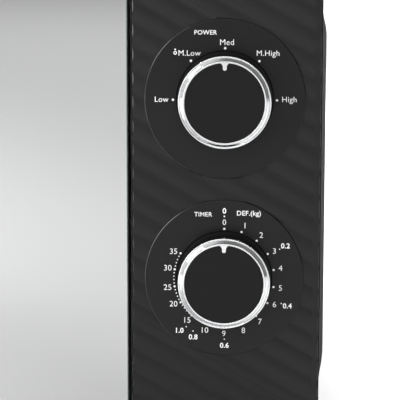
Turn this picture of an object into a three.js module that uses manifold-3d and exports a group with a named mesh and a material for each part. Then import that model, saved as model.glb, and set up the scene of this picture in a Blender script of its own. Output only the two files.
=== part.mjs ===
// Countertop microwave oven, 20 litre class: mirrored side-hung door, two turning dials and a push bar.
// Millimetres, +Z up, the front faces -Y. The origin is on the table, below the middle of the outer box.
import * as THREE from "three";
import { mergeVertices } from "three/addons/utils/BufferGeometryUtils.js";
import Module from "manifold-3d";

const wasm = await Module();
wasm.setup();

// ---------------------------------------------------------------- driving dimensions
const SHEET = 1; // steel sheet of the case, the chassis and the cavity
const GAP = 0.3; // clearance between fixed pieces that touch
const CASE = { half: 217, bottom: 12, top: 262, front: -135, back: 172, corner: 9 };
const BULGE = { out: 3, low: 36.5, high: 237.5, front: -123, back: 142, ramp: 14 };
const FACE_Y = -164.4; // the front plane of the door glass and of the two dial plates
const REAR_Y = -137.5; // the back plane of the door and of the control panel
const FRONT_LOW = 15.1; // lowest and highest edge of the door, panel and front plate
const FRONT_HIGH = 259;
const PANEL = { left: 117.45, right: 215.4, wall: 2.5, relief: 0.6 };
const DOOR = { left: -215.4, right: 115.3, wall: 2.5, glass: 4 };
const DIAL = { x: 165.6, power: 196.5, timer: 101.7, plateR: 41.8, wellR: 24.8, wellDepth: 1.6 };
const CAVITY = { left: -199, right: 97, floor: 38, roof: 243, front: -135, back: 164, corner: 10 };
const PLATE_Y = -136.3; // front face of the steel front plate
const SLOT_LOW = 67; // lower edge of the lower slot for the latch hook
const SLOT_HIGH = 191; // lower edge of the upper slot
const SLOT_TALL = 22;
const LIFT = 4; // travel of the push bar, and so of the slider and the hook

// ---------------------------------------------------------------- materials
function finish(color, roughness, metalness, extra = {}) {
  return new THREE.MeshStandardMaterial({ color, roughness, metalness, ...extra });
}
const blackPaint = finish(0x232323, 0.45, 0.3);
const blackPlastic = finish(0x2a2a2a, 0.4, 0);
const satinBlack = finish(0x262626, 0.55, 0);
const greyEnamel = finish(0xb9bab6, 0.5, 0.1);
const zincSteel = finish(0xa9abad, 0.4, 0.9);
const chrome = finish(0xe6e6e6, 0.12, 1);
const mirrorGlass = finish(0xc8c9c7, 0.05, 0.9);
const clearGlass = finish(0xe8f0ee, 0.05, 0, { transparent: true, opacity: 0.35 });
const whitePlastic = finish(0xe9e7df, 0.5, 0);
const mica = finish(0xb7a27c, 0.7, 0);
const copper = finish(0xa35a2a, 0.35, 0.9);
const laminated = finish(0x55534f, 0.6, 0.7);
const aluminium = finish(0xc4c6c8, 0.35, 1);
const rubber = finish(0x1c1c1c, 0.9, 0);
const board = finish(0x6b5a2e, 0.6, 0);

// ---------------------------------------------------------------- solid helpers
function toSolid(geometry) {
  const loose = geometry.index ? geometry.toNonIndexed() : geometry;
  const bare = new THREE.BufferGeometry().setAttribute("position", loose.getAttribute("position"));
  const merged = mergeVertices(bare, 1e-4);
  const vertProperties = merged.attributes.position.array;
  const triVerts = new Uint32Array(merged.index.array);
  return new wasm.Manifold(new wasm.Mesh({ numProp: 3, vertProperties, triVerts }));
}

function toGeometry(solid) {
  const { vertProperties, numProp, triVerts, numVert } = solid.getMesh();
  const position = new Float32Array(numVert * 3);
  for (let i = 0; i < numVert; i++) {
    position.set(vertProperties.subarray(i * numProp, i * numProp + 3), i * 3);
  }
  return new THREE.BufferGeometry()
    .setAttribute("position", new THREE.BufferAttribute(position, 3))
    .setIndex(new THREE.BufferAttribute(triVerts, 1));
}

// One geometry joined from several that overlap.
function join(...pieces) {
  return toGeometry(pieces.map(toSolid).reduce((whole, piece) => whole.add(piece)));
}

// A geometry with others taken out of it.
function cut(body, ...tools) {
  return toGeometry(tools.map(toSolid).reduce((rest, tool) => rest.subtract(tool), toSolid(body)));
}

function box(x0, x1, y0, y1, z0, z1) {
  const shape = new THREE.BoxGeometry(x1 - x0, y1 - y0, z1 - z0);
  return shape.translate((x0 + x1) / 2, (y0 + y1) / 2, (z0 + z1) / 2);
}

// A rectangle with rounded corners, as an outline or, with Kind = THREE.Path, as a hole.
function roundedRect(u0, u1, v0, v1, r, Kind = THREE.Shape) {
  const outline = new Kind();
  outline.moveTo(u0 + r, v0);
  outline.lineTo(u1 - r, v0);
  outline.absarc(u1 - r, v0 + r, r, -Math.PI / 2, 0);
  outline.lineTo(u1, v1 - r);
  outline.absarc(u1 - r, v1 - r, r, 0, Math.PI / 2);
  outline.lineTo(u0 + r, v1);
  outline.absarc(u0 + r, v1 - r, r, Math.PI / 2, Math.PI);
  outline.lineTo(u0, v0 + r);
  outline.absarc(u0 + r, v0 + r, r, Math.PI, 1.5 * Math.PI);
  return outline;
}

function polygon(points) {
  return new THREE.Shape(points.map(([u, v]) => new THREE.Vector2(u, v)));
}

// An outline drawn in X and Z, extruded along Y.
function alongY(shape, y0, y1, curveSegments = 3) {
  const block = new THREE.ExtrudeGeometry(shape, { depth: y1 - y0, bevelEnabled: false, curveSegments });
  return block.rotateX(Math.PI / 2).translate(0, y1, 0);
}

// An outline drawn in X and Y, extruded along Z.
function alongZ(shape, z0, z1, curveSegments = 3) {
  const block = new THREE.ExtrudeGeometry(shape, { depth: z1 - z0, bevelEnabled: false, curveSegments });
  return block.translate(0, 0, z0);
}

// An outline drawn in Y and Z, extruded along X.
function alongX(shape, x0, x1, curveSegments = 3) {
  const block = new THREE.ExtrudeGeometry(shape, { depth: x1 - x0, bevelEnabled: false, curveSegments });
  const [x, y, z] = [new THREE.Vector3(1, 0, 0), new THREE.Vector3(0, 1, 0), new THREE.Vector3(0, 0, 1)];
  return block.applyMatrix4(new THREE.Matrix4().makeBasis(y, z, x)).translate(x0, 0, 0);
}

function rodZ(x, y, r, z0, z1, sides = 20) {
  const rod = new THREE.CylinderGeometry(r, r, z1 - z0, sides);
  return rod.rotateX(Math.PI / 2).translate(x, y, (z0 + z1) / 2);
}

function rodY(x, z, r, y0, y1, sides = 20) {
  return new THREE.CylinderGeometry(r, r, y1 - y0, sides).translate(x, (y0 + y1) / 2, z);
}

function rodX(y, z, r, x0, x1, sides = 20) {
  const rod = new THREE.CylinderGeometry(r, r, x1 - x0, sides);
  return rod.rotateZ(Math.PI / 2).translate((x0 + x1) / 2, y, z);
}

// A turned solid about Z from a closed profile of [radius, height] points, in either order.
function turned(profile, sides = 32) {
  const area = profile.reduce((sum, [r, h], i) => {
    const [nextR, nextH] = profile[(i + 1) % profile.length];
    return sum + r * nextH - nextR * h;
  }, 0);
  const ordered = area > 0 ? profile : [...profile].reverse();
  const loop = [...ordered, ordered[0]].map(([r, h]) => new THREE.Vector2(r, h));
  return new THREE.LatheGeometry(loop, sides).rotateX(Math.PI / 2);
}

// A grid of parallel slots as one list of cutting boxes.
function slotGrid(makeBox, columns, columnPitch, rows, rowPitch) {
  const tools = [];
  for (let row = 0; row < rows; row++) {
    for (let column = 0; column < columns; column++) {
      tools.push(makeBox(column * columnPitch, row * rowPitch));
    }
  }
  return tools;
}

const oven = new THREE.Group();

function add(parent, name, geometry, material, x = 0, y = 0, z = 0) {
  const mesh = new THREE.Mesh(geometry, material);
  mesh.name = name;
  mesh.position.set(x, y, z);
  parent.add(mesh);
  return mesh;
}

// ---------------------------------------------------------------- outer case
// One folded sheet over the top and both sides, with a field pressed out of each side and cooling slots.
function ramp(distance) {
  const t = Math.min(1, Math.max(0, distance / BULGE.ramp));
  return t * t * (3 - 2 * t);
}

function bulgeAt(y, z) {
  const across = ramp(y - BULGE.front) * ramp(BULGE.back - y);
  return BULGE.out * across * ramp(z - BULGE.low) * ramp(BULGE.high - z);
}

function rampStations(start, low, high, end) {
  const steps = 3;
  const stations = [start];
  for (let i = 0; i <= steps; i++) stations.push(low + (BULGE.ramp * i) / steps);
  for (let i = steps; i >= 0; i--) stations.push(high - (BULGE.ramp * i) / steps);
  stations.push(end);
  return stations;
}

function caseSection(y) {
  const cornerSteps = 4;
  const side = rampStations(CASE.bottom, BULGE.low, BULGE.high, CASE.top - CASE.corner);
  const right = side.map((z) => ({ x: CASE.half + bulgeAt(y, z), z, nx: 1, nz: 0 }));
  for (let i = 1; i <= cornerSteps; i++) {
    const turn = ((Math.PI / 2) * i) / cornerSteps;
    const [nx, nz] = [Math.cos(turn), Math.sin(turn)];
    const x = CASE.half - CASE.corner + CASE.corner * nx;
    right.push({ x, z: CASE.top - CASE.corner + CASE.corner * nz, nx, nz });
  }
  const left = right.map((p) => ({ ...p, x: -p.x, nx: -p.nx })).reverse();
  return [...right, ...left];
}

function caseWrap() {
  const stations = rampStations(CASE.front, BULGE.front, BULGE.back, CASE.back);
  const position = [];
  const index = [];
  const sections = stations.map((y) => caseSection(y).map((p) => ({ ...p, y })));
  const across = sections[0].length;
  for (const depth of [0, SHEET]) {
    for (const p of sections.flat()) position.push(p.x - depth * p.nx, p.y, p.z - depth * p.nz);
  }
  const layer = stations.length * across;
  const quad = (a, b, c, d) => index.push(a, b, c, a, c, d);
  for (let i = 0; i + 1 < stations.length; i++) {
    for (let j = 0; j + 1 < across; j++) {
      const a = i * across + j;
      quad(a, a + across, a + across + 1, a + 1);
      quad(layer + a, layer + a + 1, layer + a + across + 1, layer + a + across);
    }
    const low = i * across;
    const high = low + across - 1;
    quad(low, layer + low, layer + low + across, low + across);
    quad(high, high + across, layer + high + across, layer + high);
  }
  const last = (stations.length - 1) * across;
  for (let j = 0; j + 1 < across; j++) {
    quad(j, j + 1, layer + j + 1, layer + j);
    quad(last + j, layer + last + j, layer + last + j + 1, last + j + 1);
  }
  const sheet = new THREE.BufferGeometry();
  sheet.setAttribute("position", new THREE.BufferAttribute(new Float32Array(position), 3));
  sheet.setIndex(index);
  const slot = { wide: 5, tall: 26, pitch: 12, rowPitch: 34 };
  const through = CASE.half + BULGE.out + 2;
  const intake = slotGrid(
    (dy, dz) => box(CASE.half - 4, through, 30 + dy, 30 + slot.wide + dy, 66 + dz, 66 + slot.tall + dz),
    8,
    slot.pitch,
    2,
    slot.rowPitch,
  );
  const exhaust = slotGrid(
    (dy) => box(-through, 4 - CASE.half, 40 + dy, 40 + slot.wide + dy, 186, 186 + slot.tall),
    7,
    slot.pitch,
    1,
    0,
  );
  return cut(sheet, ...intake, ...exhaust);
}

add(oven, "cabinet_wrap", caseWrap(), blackPaint);

// The chassis pan under everything, with a rim that the case is screwed to and slots under the transformer.
const RIM = 10;
const panHalf = CASE.half - SHEET - GAP - 0.2;
const panSection = polygon([
  [-panHalf, CASE.bottom],
  [panHalf, CASE.bottom],
  [panHalf, CASE.bottom + RIM],
  [panHalf - SHEET, CASE.bottom + RIM],
  [panHalf - SHEET, CASE.bottom + SHEET],
  [SHEET - panHalf, CASE.bottom + SHEET],
  [SHEET - panHalf, CASE.bottom + RIM],
  [-panHalf, CASE.bottom + RIM],
]);
const panBack = CASE.back - SHEET - GAP;
const panSlots = slotGrid((dx) => box(124 + dx, 129 + dx, -62, -22, 8, 16), 6, 12, 1, 0);
add(oven, "base_plate", cut(alongY(panSection, CASE.front, panBack), ...panSlots), zincSteel);

// The back cover: fan slots behind the blower, exhaust slots behind the cavity, and the lead's hole.
const GLAND = { x: 188, z: 52, r: 9 };
const FAN = { x: 158, z: 180, r: 46 };
const backLow = CASE.bottom + SHEET + GAP;
const backHigh = CASE.top - SHEET - GAP;
const backOutline = roundedRect(-panHalf, panHalf, backLow, backHigh, CASE.corner - SHEET);
const fanSlots = slotGrid(
  (dx, dz) => box(118 + dx, 156 + dx, CASE.back - 4, CASE.back + 2, 142 + dz, 148 + dz),
  2,
  42,
  6,
  14,
);
const steamSlots = slotGrid(
  (dx, dz) => box(-150 + dx, -112 + dx, CASE.back - 4, CASE.back + 2, 200 + dz, 206 + dz),
  2,
  42,
  3,
  14,
);
const rearPanel = cut(
  alongY(backOutline, CASE.back - SHEET, CASE.back),
  ...fanSlots,
  ...steamSlots,
  rodY(GLAND.x, GLAND.z, GLAND.r + GAP, CASE.back - 4, CASE.back + 2),
);
add(oven, "rear_panel", rearPanel, zincSteel);

// The gland that the mains lead passes through: a bush with a flange outside the back cover.
const glandProfile = [
  [4, -7],
  [4, 4],
  [12, 4],
  [12, GAP],
  [GLAND.r, GAP],
  [GLAND.r, -7],
];
const gland = turned(glandProfile, 20).rotateX(-Math.PI / 2);
add(oven, "cord_gland", gland, blackPlastic, GLAND.x, CASE.back, GLAND.z);

// Two bumpers keep the back clear of the wall.
for (const [side, x] of [["left", -150], ["right", 60]]) {
  const bumper = turned([[0, 0], [7, 0], [5.5, 7.7], [0, 7.7]], 16).rotateX(-Math.PI / 2);
  add(oven, `rear_bumper_${side}`, bumper, rubber, x, CASE.back + GAP, 60);
}

// Four round feet under the pan.
const FOOT = { r: 11, x: 178, front: -112, back: 146 };
const feet = [
  ["foot_front_left", -FOOT.x, FOOT.front],
  ["foot_front_right", FOOT.x, FOOT.front],
  ["foot_back_left", -FOOT.x, FOOT.back],
  ["foot_back_right", FOOT.x, FOOT.back],
];
for (const [name, x, y] of feet) {
  const height = CASE.bottom - GAP;
  const profile = [[0, 0], [FOOT.r - 1.5, 0], [FOOT.r, 1.5], [FOOT.r, height], [0, height]];
  add(oven, name, turned(profile, 16), rubber, x, y, 0);
}

// ---------------------------------------------------------------- cavity
// Steel plate behind the door and the panel: mouth of the cavity, window for the dials, slots for the hook.
const HOOK = { left: 108.3, right: 110.8 };
const plateOutline = roundedRect(DOOR.left + 0.2, PANEL.right - 0.2, FRONT_LOW, FRONT_HIGH, 4);
const { left, right, floor, roof, corner } = CAVITY;
plateOutline.holes.push(roundedRect(left, right, floor, roof, corner, THREE.Path));
plateOutline.holes.push(roundedRect(123.5, 208, 19, 250, 3, THREE.Path));
const hookSlots = [SLOT_LOW, SLOT_HIGH].map((z) =>
  box(HOOK.left - 1.2, HOOK.right + 1.6, PLATE_Y - 2, -130, z, z + SLOT_TALL),
);
add(oven, "front_plate", cut(alongY(plateOutline, PLATE_Y, PLATE_Y + SHEET), ...hookSlots), greyEnamel);

// Five-sided cavity with the feed port and lamp holes on the right, steam holes on the left, a shaft hole below.
const TABLE = { x: (left + right) / 2, y: (PLATE_Y + CAVITY.back) / 2 };
const PORT = { y0: -36, y1: 14, z0: 178, z1: 222 };
const cavityOuter = roundedRect(left - SHEET, right + SHEET, floor - SHEET, roof + SHEET, corner + SHEET);
const cavityInner = roundedRect(left, right, floor, roof, corner);
const wallHoles = (x, y, z) => slotGrid((dy, dz) => rodX(y + dy, z + dz, 2.4, x - 3, x + 3, 6), 4, 8, 2, 8);
const cavityShell = cut(
  alongY(cavityOuter, CAVITY.front, CAVITY.back + SHEET),
  alongY(cavityInner, CAVITY.front - 5, CAVITY.back),
  box(right - 3, right + 3, PORT.y0, PORT.y1, PORT.z0, PORT.z1),
  rodZ(TABLE.x, TABLE.y, 6.5, floor - 4, floor + 4, 16),
  ...wallHoles(right, -87, 212),
  ...wallHoles(left, 100, 197),
);
add(oven, "cavity_shell", cavityShell, greyEnamel);

// Mica sheet over the feed port, inside the cavity.
const micaOutline = roundedRect(PORT.y0 - 10, PORT.y1 + 10, PORT.z0 - 8, PORT.z1 + 8, 4);
add(oven, "waveguide_cover", alongX(micaOutline, right - GAP - 0.6, right - GAP), mica);

// ---------------------------------------------------------------- microwave source
// Waveguide: an open pan welded to the cavity's right wall, from the magnetron to the feed port.
const GUIDE = { x0: right + SHEET + GAP, x1: 137.5, y0: -42, y1: 104, z0: 172, z1: 228 };
const TUBE = { y: 64, z: 200 };
const waveguide = cut(
  box(GUIDE.x0, GUIDE.x1, GUIDE.y0, GUIDE.y1, GUIDE.z0, GUIDE.z1),
  box(GUIDE.x0 - 5, GUIDE.x1 - SHEET, GUIDE.y0 + SHEET, GUIDE.y1 - SHEET, GUIDE.z0 + SHEET, GUIDE.z1 - SHEET),
  rodX(TUBE.y, TUBE.z, 10, GUIDE.x1 - 4, GUIDE.x1 + 4, 16),
);
add(oven, "waveguide_duct", waveguide, zincSteel);

const YOKE = { x0: GUIDE.x1 + GAP, x1: 188, half: 40, wall: 2 };
const yoke = cut(
  box(YOKE.x0, YOKE.x1, TUBE.y - YOKE.half, TUBE.y + YOKE.half, TUBE.z - 36, TUBE.z + 36),
  box(YOKE.x0 + 2, YOKE.x1 - 2, TUBE.y - 50, TUBE.y + 50, TUBE.z - 34, TUBE.z + 34),
  rodX(TUBE.y, TUBE.z, 10, YOKE.x0 - 4, YOKE.x0 + 6, 16),
);
add(oven, "magnetron_yoke", yoke, zincSteel);

const anodeParts = [rodX(TUBE.y, TUBE.z, 18, YOKE.x0 + 3, YOKE.x1 - 3, 16)];
for (let i = 0; i < 5; i++) {
  const x = YOKE.x0 + 8 + i * 8;
  anodeParts.push(box(x, x + 0.8, TUBE.y - 38, TUBE.y + 38, TUBE.z - 32, TUBE.z + 32));
}
add(oven, "magnetron_anode", join(...anodeParts), aluminium);

const antennaProfile = [[0, 0], [8.5, 0], [8.5, 20], [6, 24], [0, 26]];
const antenna = turned(antennaProfile, 16).rotateY(-Math.PI / 2);
add(oven, "magnetron_antenna", antenna, aluminium, YOKE.x0 + 2.6, TUBE.y, TUBE.z);

const filterBox = join(
  box(YOKE.x1 + GAP, 208, TUBE.y - 28, TUBE.y + 28, TUBE.z - 26, TUBE.z + 26),
  box(194, 198, TUBE.y - 38, TUBE.y - 27, TUBE.z - 4, TUBE.z - 1),
  box(194, 198, TUBE.y - 38, TUBE.y - 27, TUBE.z + 2, TUBE.z + 5),
);
add(oven, "magnetron_filter_box", filterBox, zincSteel);

// ---------------------------------------------------------------- high-voltage supply
const CORE = { x: 155, y: -42, half: 43, deep: 25, low: 13.4, high: 86 };
const coreOutline = roundedRect(CORE.x - CORE.half, CORE.x + CORE.half, CORE.low, CORE.high, 2);
for (const side of [-1, 1]) {
  const inner = CORE.x + side * 14;
  const outer = CORE.x + side * 28.5;
  const [u0, u1] = [Math.min(inner, outer), Math.max(inner, outer)];
  coreOutline.holes.push(roundedRect(u0, u1, 26, 74, 1, THREE.Path));
}
add(oven, "transformer_core", alongY(coreOutline, CORE.y - CORE.deep, CORE.y + CORE.deep, 2), laminated);

function coil(z0, z1) {
  const outer = roundedRect(CORE.x - 28, CORE.x + 28, CORE.y - 38, CORE.y + 38, 9);
  const gap = CORE.deep + 0.5;
  outer.holes.push(roundedRect(CORE.x - 14.5, CORE.x + 14.5, CORE.y - gap, CORE.y + gap, 0.5, THREE.Path));
  return alongZ(outer, z0, z1, 4);
}
add(oven, "transformer_primary_coil", coil(27, 46), copper);
add(oven, "transformer_secondary_coil", coil(50, 73), copper);

const canOutline = roundedRect(10, 62, 13.4, 47.4, 16.9);
const capacitor = join(
  alongX(canOutline, 108, 198, 8),
  box(197, 206, 26, 28, 28, 34),
  box(197, 206, 44, 46, 28, 34),
);
add(oven, "hv_capacitor", capacitor, aluminium);

// ---------------------------------------------------------------- cooling blower
const shroud = cut(
  join(
    alongY(roundedRect(104, 212, 122, 238, 4), 152, 154, 3),
    rodY(FAN.x, FAN.z, FAN.r + 5, 140, 153, 24),
  ),
  rodY(FAN.x, FAN.z, FAN.r + 3, 138, 156, 24),
);
add(oven, "fan_shroud", shroud, blackPlastic);

const fanMotor = join(
  box(FAN.x - 29, FAN.x + 29, 116, 132, FAN.z - 24, FAN.z + 24),
  rodY(FAN.x, FAN.z, 13, 110, 137, 16),
  box(FAN.x - 3, FAN.x + 3, 130, 150, FAN.z + 18, FAN.z + 24),
);
const motorStem = box(FAN.x - 4, FAN.x + 4, 129, 139.7, FAN.z - 24, FAN.z - 18);
add(oven, "fan_motor", cut(join(fanMotor, motorStem), box(100, 220, 137.2, 160, 100, 240)), laminated);

const cooler = new THREE.Group();
cooler.position.set(FAN.x, 146, FAN.z);
oven.add(cooler);
const blades = [rodY(0, 0, 10, -5, 5, 14)];
for (let i = 0; i < 5; i++) {
  const blade = box(8, 45, -0.8, 0.8, -9, 9).rotateX(0.55);
  blades.push(blade.rotateY((2 * Math.PI * i) / 5));
}
add(cooler, "fan_blade", join(...blades), whitePlastic);

const guideSection = polygon([
  [102, 241],
  [212, 241],
  [212, 150],
  [213.5, 150],
  [213.5, 242.5],
  [102, 242.5],
]);
add(oven, "air_guide", alongY(guideSection, 22, 151.5), blackPlastic);

// ---------------------------------------------------------------- lamp and filter board
const LAMP = { y: -75, z: 221 };
const bulbProfile = [[0, 0], [5, 0], [5, 5], [9, 11], [9, 18], [6, 22], [0, 23]];
const bulb = turned(bulbProfile, 16).rotateY(-Math.PI / 2);
add(oven, "cavity_lamp", bulb, clearGlass, 123, LAMP.y, LAMP.z);
const lampHolder = join(
  box(124, 142, LAMP.y - 9, LAMP.y + 9, LAMP.z - 9, LAMP.z + 9),
  box(99, 138, LAMP.y - 9, LAMP.y + 9, LAMP.z + 12, LAMP.z + 13.5),
  box(136.5, 138, LAMP.y - 9, LAMP.y + 9, LAMP.z + 8, LAMP.z + 13),
);
add(oven, "lamp_holder", lampHolder, whitePlastic);

const filterBoard = join(
  box(140, 208, -58, 14, 245, 246.6),
  box(146, 168, -52, -32, 246, 256),
  box(174, 200, -50, -38, 246, 257),
  rodZ(158, -8, 11, 246, 255, 14),
  box(180, 202, -14, 6, 246, 251),
);
add(oven, "filter_board", filterBoard, board);

// ---------------------------------------------------------------- turntable
const ROLLER = { r: 7, bore: 2.4, inner: 97, outer: 105 };
const rollerZ = CAVITY.floor + GAP + ROLLER.r;
const trayZ = CAVITY.floor + 2 * (GAP + ROLLER.r);
const TRAY = { r: 127.5, flat: 112, rise: 9, thick: 4 };

const motorCase = join(
  rodZ(TABLE.x, TABLE.y, 24.5, 19, 34.5, 28),
  box(TABLE.x - 33, TABLE.x + 33, TABLE.y - 6, TABLE.y + 6, 33, 34.5),
);
add(oven, "turntable_motor", motorCase, zincSteel);

const table = new THREE.Group();
table.position.set(TABLE.x, TABLE.y, 0);
oven.add(table);

// Drive cross: a hub on the motor's shaft, with three arms that push the lugs under the tray.
const thirds = [0, 1, 2].map((i) => (2 * Math.PI * i) / 3);
const crossArms = thirds.map((turn) => box(4, 23, -3.5, 3.5, 44, 51.6).rotateZ(turn));
const hub = turned([[0, 36], [5.2, 36], [5.2, 39], [11, 39.5], [11, 50], [9, 52], [0, 52]], 20);
add(table, "turntable_coupler", join(hub, ...crossArms), whitePlastic);

const trayProfile = [
  [0, trayZ],
  [TRAY.flat, trayZ],
  [TRAY.r - 3, trayZ + TRAY.rise - 1.5],
  [TRAY.r, trayZ + TRAY.rise + 1],
  [TRAY.r - 1.2, trayZ + TRAY.rise + TRAY.thick - 1.5],
  [TRAY.r - 4.5, trayZ + TRAY.rise + TRAY.thick - 2.5],
  [TRAY.flat - 2.5, trayZ + TRAY.thick],
  [0, trayZ + TRAY.thick],
];
const lugs = thirds.map((turn) => box(13, 22, -3, 3, 46.5, trayZ + 1).rotateZ(turn + Math.PI / 3));
add(table, "glass_turntable", join(turned(trayProfile, 32), ...lugs), clearGlass);

const ringBand = turned([[84, 41], [91, 41], [91, 49], [84, 49]], 28);
const axles = thirds.map((turn) => rodX(0, rollerZ, 2, 88, 107, 10).rotateZ(turn + Math.PI / 2));
add(table, "roller_ring", join(ringBand, ...axles), whitePlastic);
thirds.forEach((turn, i) => {
  const spoke = new THREE.Group();
  spoke.rotation.z = turn + Math.PI / 2;
  table.add(spoke);
  const wheel = turned(
    [
      [ROLLER.bore, ROLLER.inner],
      [ROLLER.r - 1, ROLLER.inner],
      [ROLLER.r, ROLLER.inner + 1],
      [ROLLER.r, ROLLER.outer - 1],
      [ROLLER.r - 1, ROLLER.outer],
      [ROLLER.bore, ROLLER.outer],
    ],
    16,
  ).rotateY(Math.PI / 2);
  add(spoke, `roller_${i + 1}`, wheel, whitePlastic, 0, 0, rollerZ);
});

// ---------------------------------------------------------------- control panel
// A moulded shell, open behind, with two raised dial plates. The knobs stand in shallow wells.
const panelFront = FACE_Y + PANEL.relief;
const BAR = { x0: 120.9, x1: 212, z0: 17.6, z1: 32.8, clear: 0.6 };
const panelOutline = roundedRect(PANEL.left, PANEL.right, FRONT_LOW, FRONT_HIGH, 2.5);
const panelHollow = roundedRect(
  PANEL.left + PANEL.wall,
  PANEL.right - PANEL.wall,
  FRONT_LOW + PANEL.wall,
  FRONT_HIGH - PANEL.wall,
  1,
);
const dialHeights = [DIAL.power, DIAL.timer];
const controlPanel = cut(
  join(
    alongY(panelOutline, panelFront, REAR_Y),
    ...dialHeights.map((z) => rodY(DIAL.x, z, DIAL.plateR, FACE_Y, REAR_Y - 5, 48)),
  ),
  alongY(panelHollow, panelFront + PANEL.wall, REAR_Y + 5),
  ...dialHeights.map((z) => rodY(DIAL.x, z, DIAL.wellR, FACE_Y - 5, FACE_Y + DIAL.wellDepth, 32)),
  ...dialHeights.map((z) => rodY(DIAL.x, z, 5, FACE_Y - 5, REAR_Y, 16)),
  box(BAR.x0 - BAR.clear, BAR.x1 + BAR.clear, FACE_Y - 5, panelFront + 4, BAR.z0 - 0.4, BAR.z1 + BAR.clear),
);
add(oven, "control_panel", controlPanel, blackPlastic);

// The clockwork timer and the power selector, each behind its dial.
function dialUnit(halfWide, halfTall, deep) {
  const front = panelFront + PANEL.wall + GAP;
  return join(
    box(-halfWide, halfWide, front, front + deep, -halfTall, halfTall),
    box(-halfWide + 4, halfWide - 4, front + deep - 1, front + deep + 8, halfTall - 12, halfTall - 10),
    box(-halfWide + 4, halfWide - 4, front + deep - 1, front + deep + 8, 4 - halfTall, 6 - halfTall),
  );
}
add(oven, "timer_body", dialUnit(26, 24, 40), whitePlastic, DIAL.x, 0, DIAL.timer);
add(oven, "power_selector_body", dialUnit(21, 19, 28), whitePlastic, DIAL.x, 0, DIAL.power);

// Knobs: a black cap with a chromed ring pressed on its front edge. Heights are measured from the dial plate.
const KNOB = { r: 23.7, shelf: 12.3, face: 15, ringOut: 24, ringIn: 20.8, tip: 15.6, pointer: 16.6 };
function knobCap() {
  const base = 0.7 - DIAL.wellDepth;
  return turned(
    [
      [3.3, base],
      [KNOB.r, base],
      [KNOB.r - 0.3, KNOB.shelf],
      [KNOB.ringIn - 0.5, KNOB.shelf],
      [KNOB.ringIn - 0.5, KNOB.face],
      [0, KNOB.face],
      [0, 10],
      [3.3, 10],
    ],
    32,
  );
}

function knobRing() {
  const bottom = KNOB.shelf + GAP;
  const bevel = turned(
    [
      [KNOB.ringIn - 0.2, bottom],
      [KNOB.ringOut - 0.3, bottom],
      [KNOB.ringOut, bottom + 0.4],
      [KNOB.ringOut, bottom + 0.9],
      [KNOB.ringIn + 0.3, KNOB.face + 0.45],
      [KNOB.ringIn - 0.2, KNOB.face + 0.45],
    ],
    32,
  );
  const pointer = box(-1.1, 1.1, KNOB.pointer, KNOB.ringIn + 0.5, KNOB.face + GAP, KNOB.tip);
  return join(bevel, pointer);
}

for (const [name, z] of [["power", DIAL.power], ["timer", DIAL.timer]]) {
  const knob = new THREE.Group();
  knob.position.set(DIAL.x, FACE_Y, z);
  knob.rotation.x = Math.PI / 2;
  oven.add(knob);
  add(knob, `${name}_knob_cap`, knobCap(), satinBlack);
  add(knob, `${name}_knob_ring`, knobRing(), chrome);
  add(knob, `${name}_shaft`, rodZ(0, 0, 3, -PANEL.relief - PANEL.wall, 9, 14), zincSteel);
}

// ---------------------------------------------------------------- door release
// The push bar's stem ends in a wedge that lifts the slider, and the slider lifts the latch hook.
const STEM = { x0: 126, x1: 131, z0: 20.2, z1: 26, tip: -118 };
const wedge = polygon([
  [-157, STEM.z0],
  [STEM.tip, STEM.z0],
  [STEM.tip - (STEM.z1 - STEM.z0), STEM.z1],
  [-157, STEM.z1],
]);
const releaseBar = join(
  alongY(roundedRect(BAR.x0, BAR.x1, BAR.z0, BAR.z1, 1.5), FACE_Y - 0.6, FACE_Y + 9),
  alongX(wedge, STEM.x0, STEM.x1),
);
add(oven, "release_bar", releaseBar, blackPlastic);

const slope = STEM.tip + 0.4;
const shoe = polygon([
  [slope - 4, STEM.z0 + 4],
  [slope + 2, STEM.z0 - 2],
  [slope + 8, STEM.z0 - 2],
  [slope + 8, STEM.z1 + 6],
  [slope - 4, STEM.z1 + 6],
]);
const releaseSlider = join(
  alongX(shoe, HOOK.left - 0.5, STEM.x1),
  box(HOOK.left - 0.5, HOOK.right + 0.5, slope - 1, slope + 2.4, STEM.z1, 67.2),
);
add(oven, "release_slider", releaseSlider, whitePlastic);

// ---------------------------------------------------------------- door lock
const bracketFront = PLATE_Y + SHEET + GAP;
const latchBracket = cut(
  box(104, 123, bracketFront, -104, 60, 222),
  box(106, 121, bracketFront + 2.5, -100, 62.5, 219.5),
  ...[SLOT_LOW, SLOT_HIGH].map((z) =>
    box(HOOK.left - 1.2, HOOK.right + 1.6, bracketFront - 2, bracketFront + 4, z, z + SLOT_TALL),
  ),
  box(107.2, 112, -119.5, -109, 58, 64),
);
add(oven, "latch_bracket", latchBracket, whitePlastic);

const switches = [
  ["lower_microswitch", 67.2],
  ["monitor_microswitch", 122],
  ["upper_microswitch", 189],
];
for (const [name, z] of switches) {
  const body = join(
    box(107, 117.3, -112.5, -97, 0, 27.8),
    box(110.5, 113.5, -114.6, -112, 7, 10),
    box(110.5, 111.3, -97.5, -90, 5, 9),
    box(110.5, 111.3, -97.5, -90, 19, 23),
  );
  add(oven, name, body, satinBlack, 0, 0, z);
}

// ---------------------------------------------------------------- door
const HINGE = { x: DOOR.left + 7.5, y: REAR_Y - 8, edge: 5.5, pin: 3, bore: 3.4 };
const frameFront = FACE_Y + DOOR.glass + GAP;
const PAN = { left: -212, right: 107, low: 18.3, high: 255.8 };
const SPRING = { r: 1.7, wire: 0.45, low: 214.6, high: 236, turns: 6 };
const WINDOW = { left: -176, right: 74, low: 58, high: 222 };

// The door's rear hinge edge is rounded, so that it turns clear of the front plate.
const edgeCut = cut(
  box(DOOR.left - 5, DOOR.left + HINGE.edge, REAR_Y - HINGE.edge, REAR_Y + 5, 0, 300),
  rodZ(DOOR.left + HINGE.edge, REAR_Y - HINGE.edge, HINGE.edge, -5, 305, 24),
);

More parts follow.
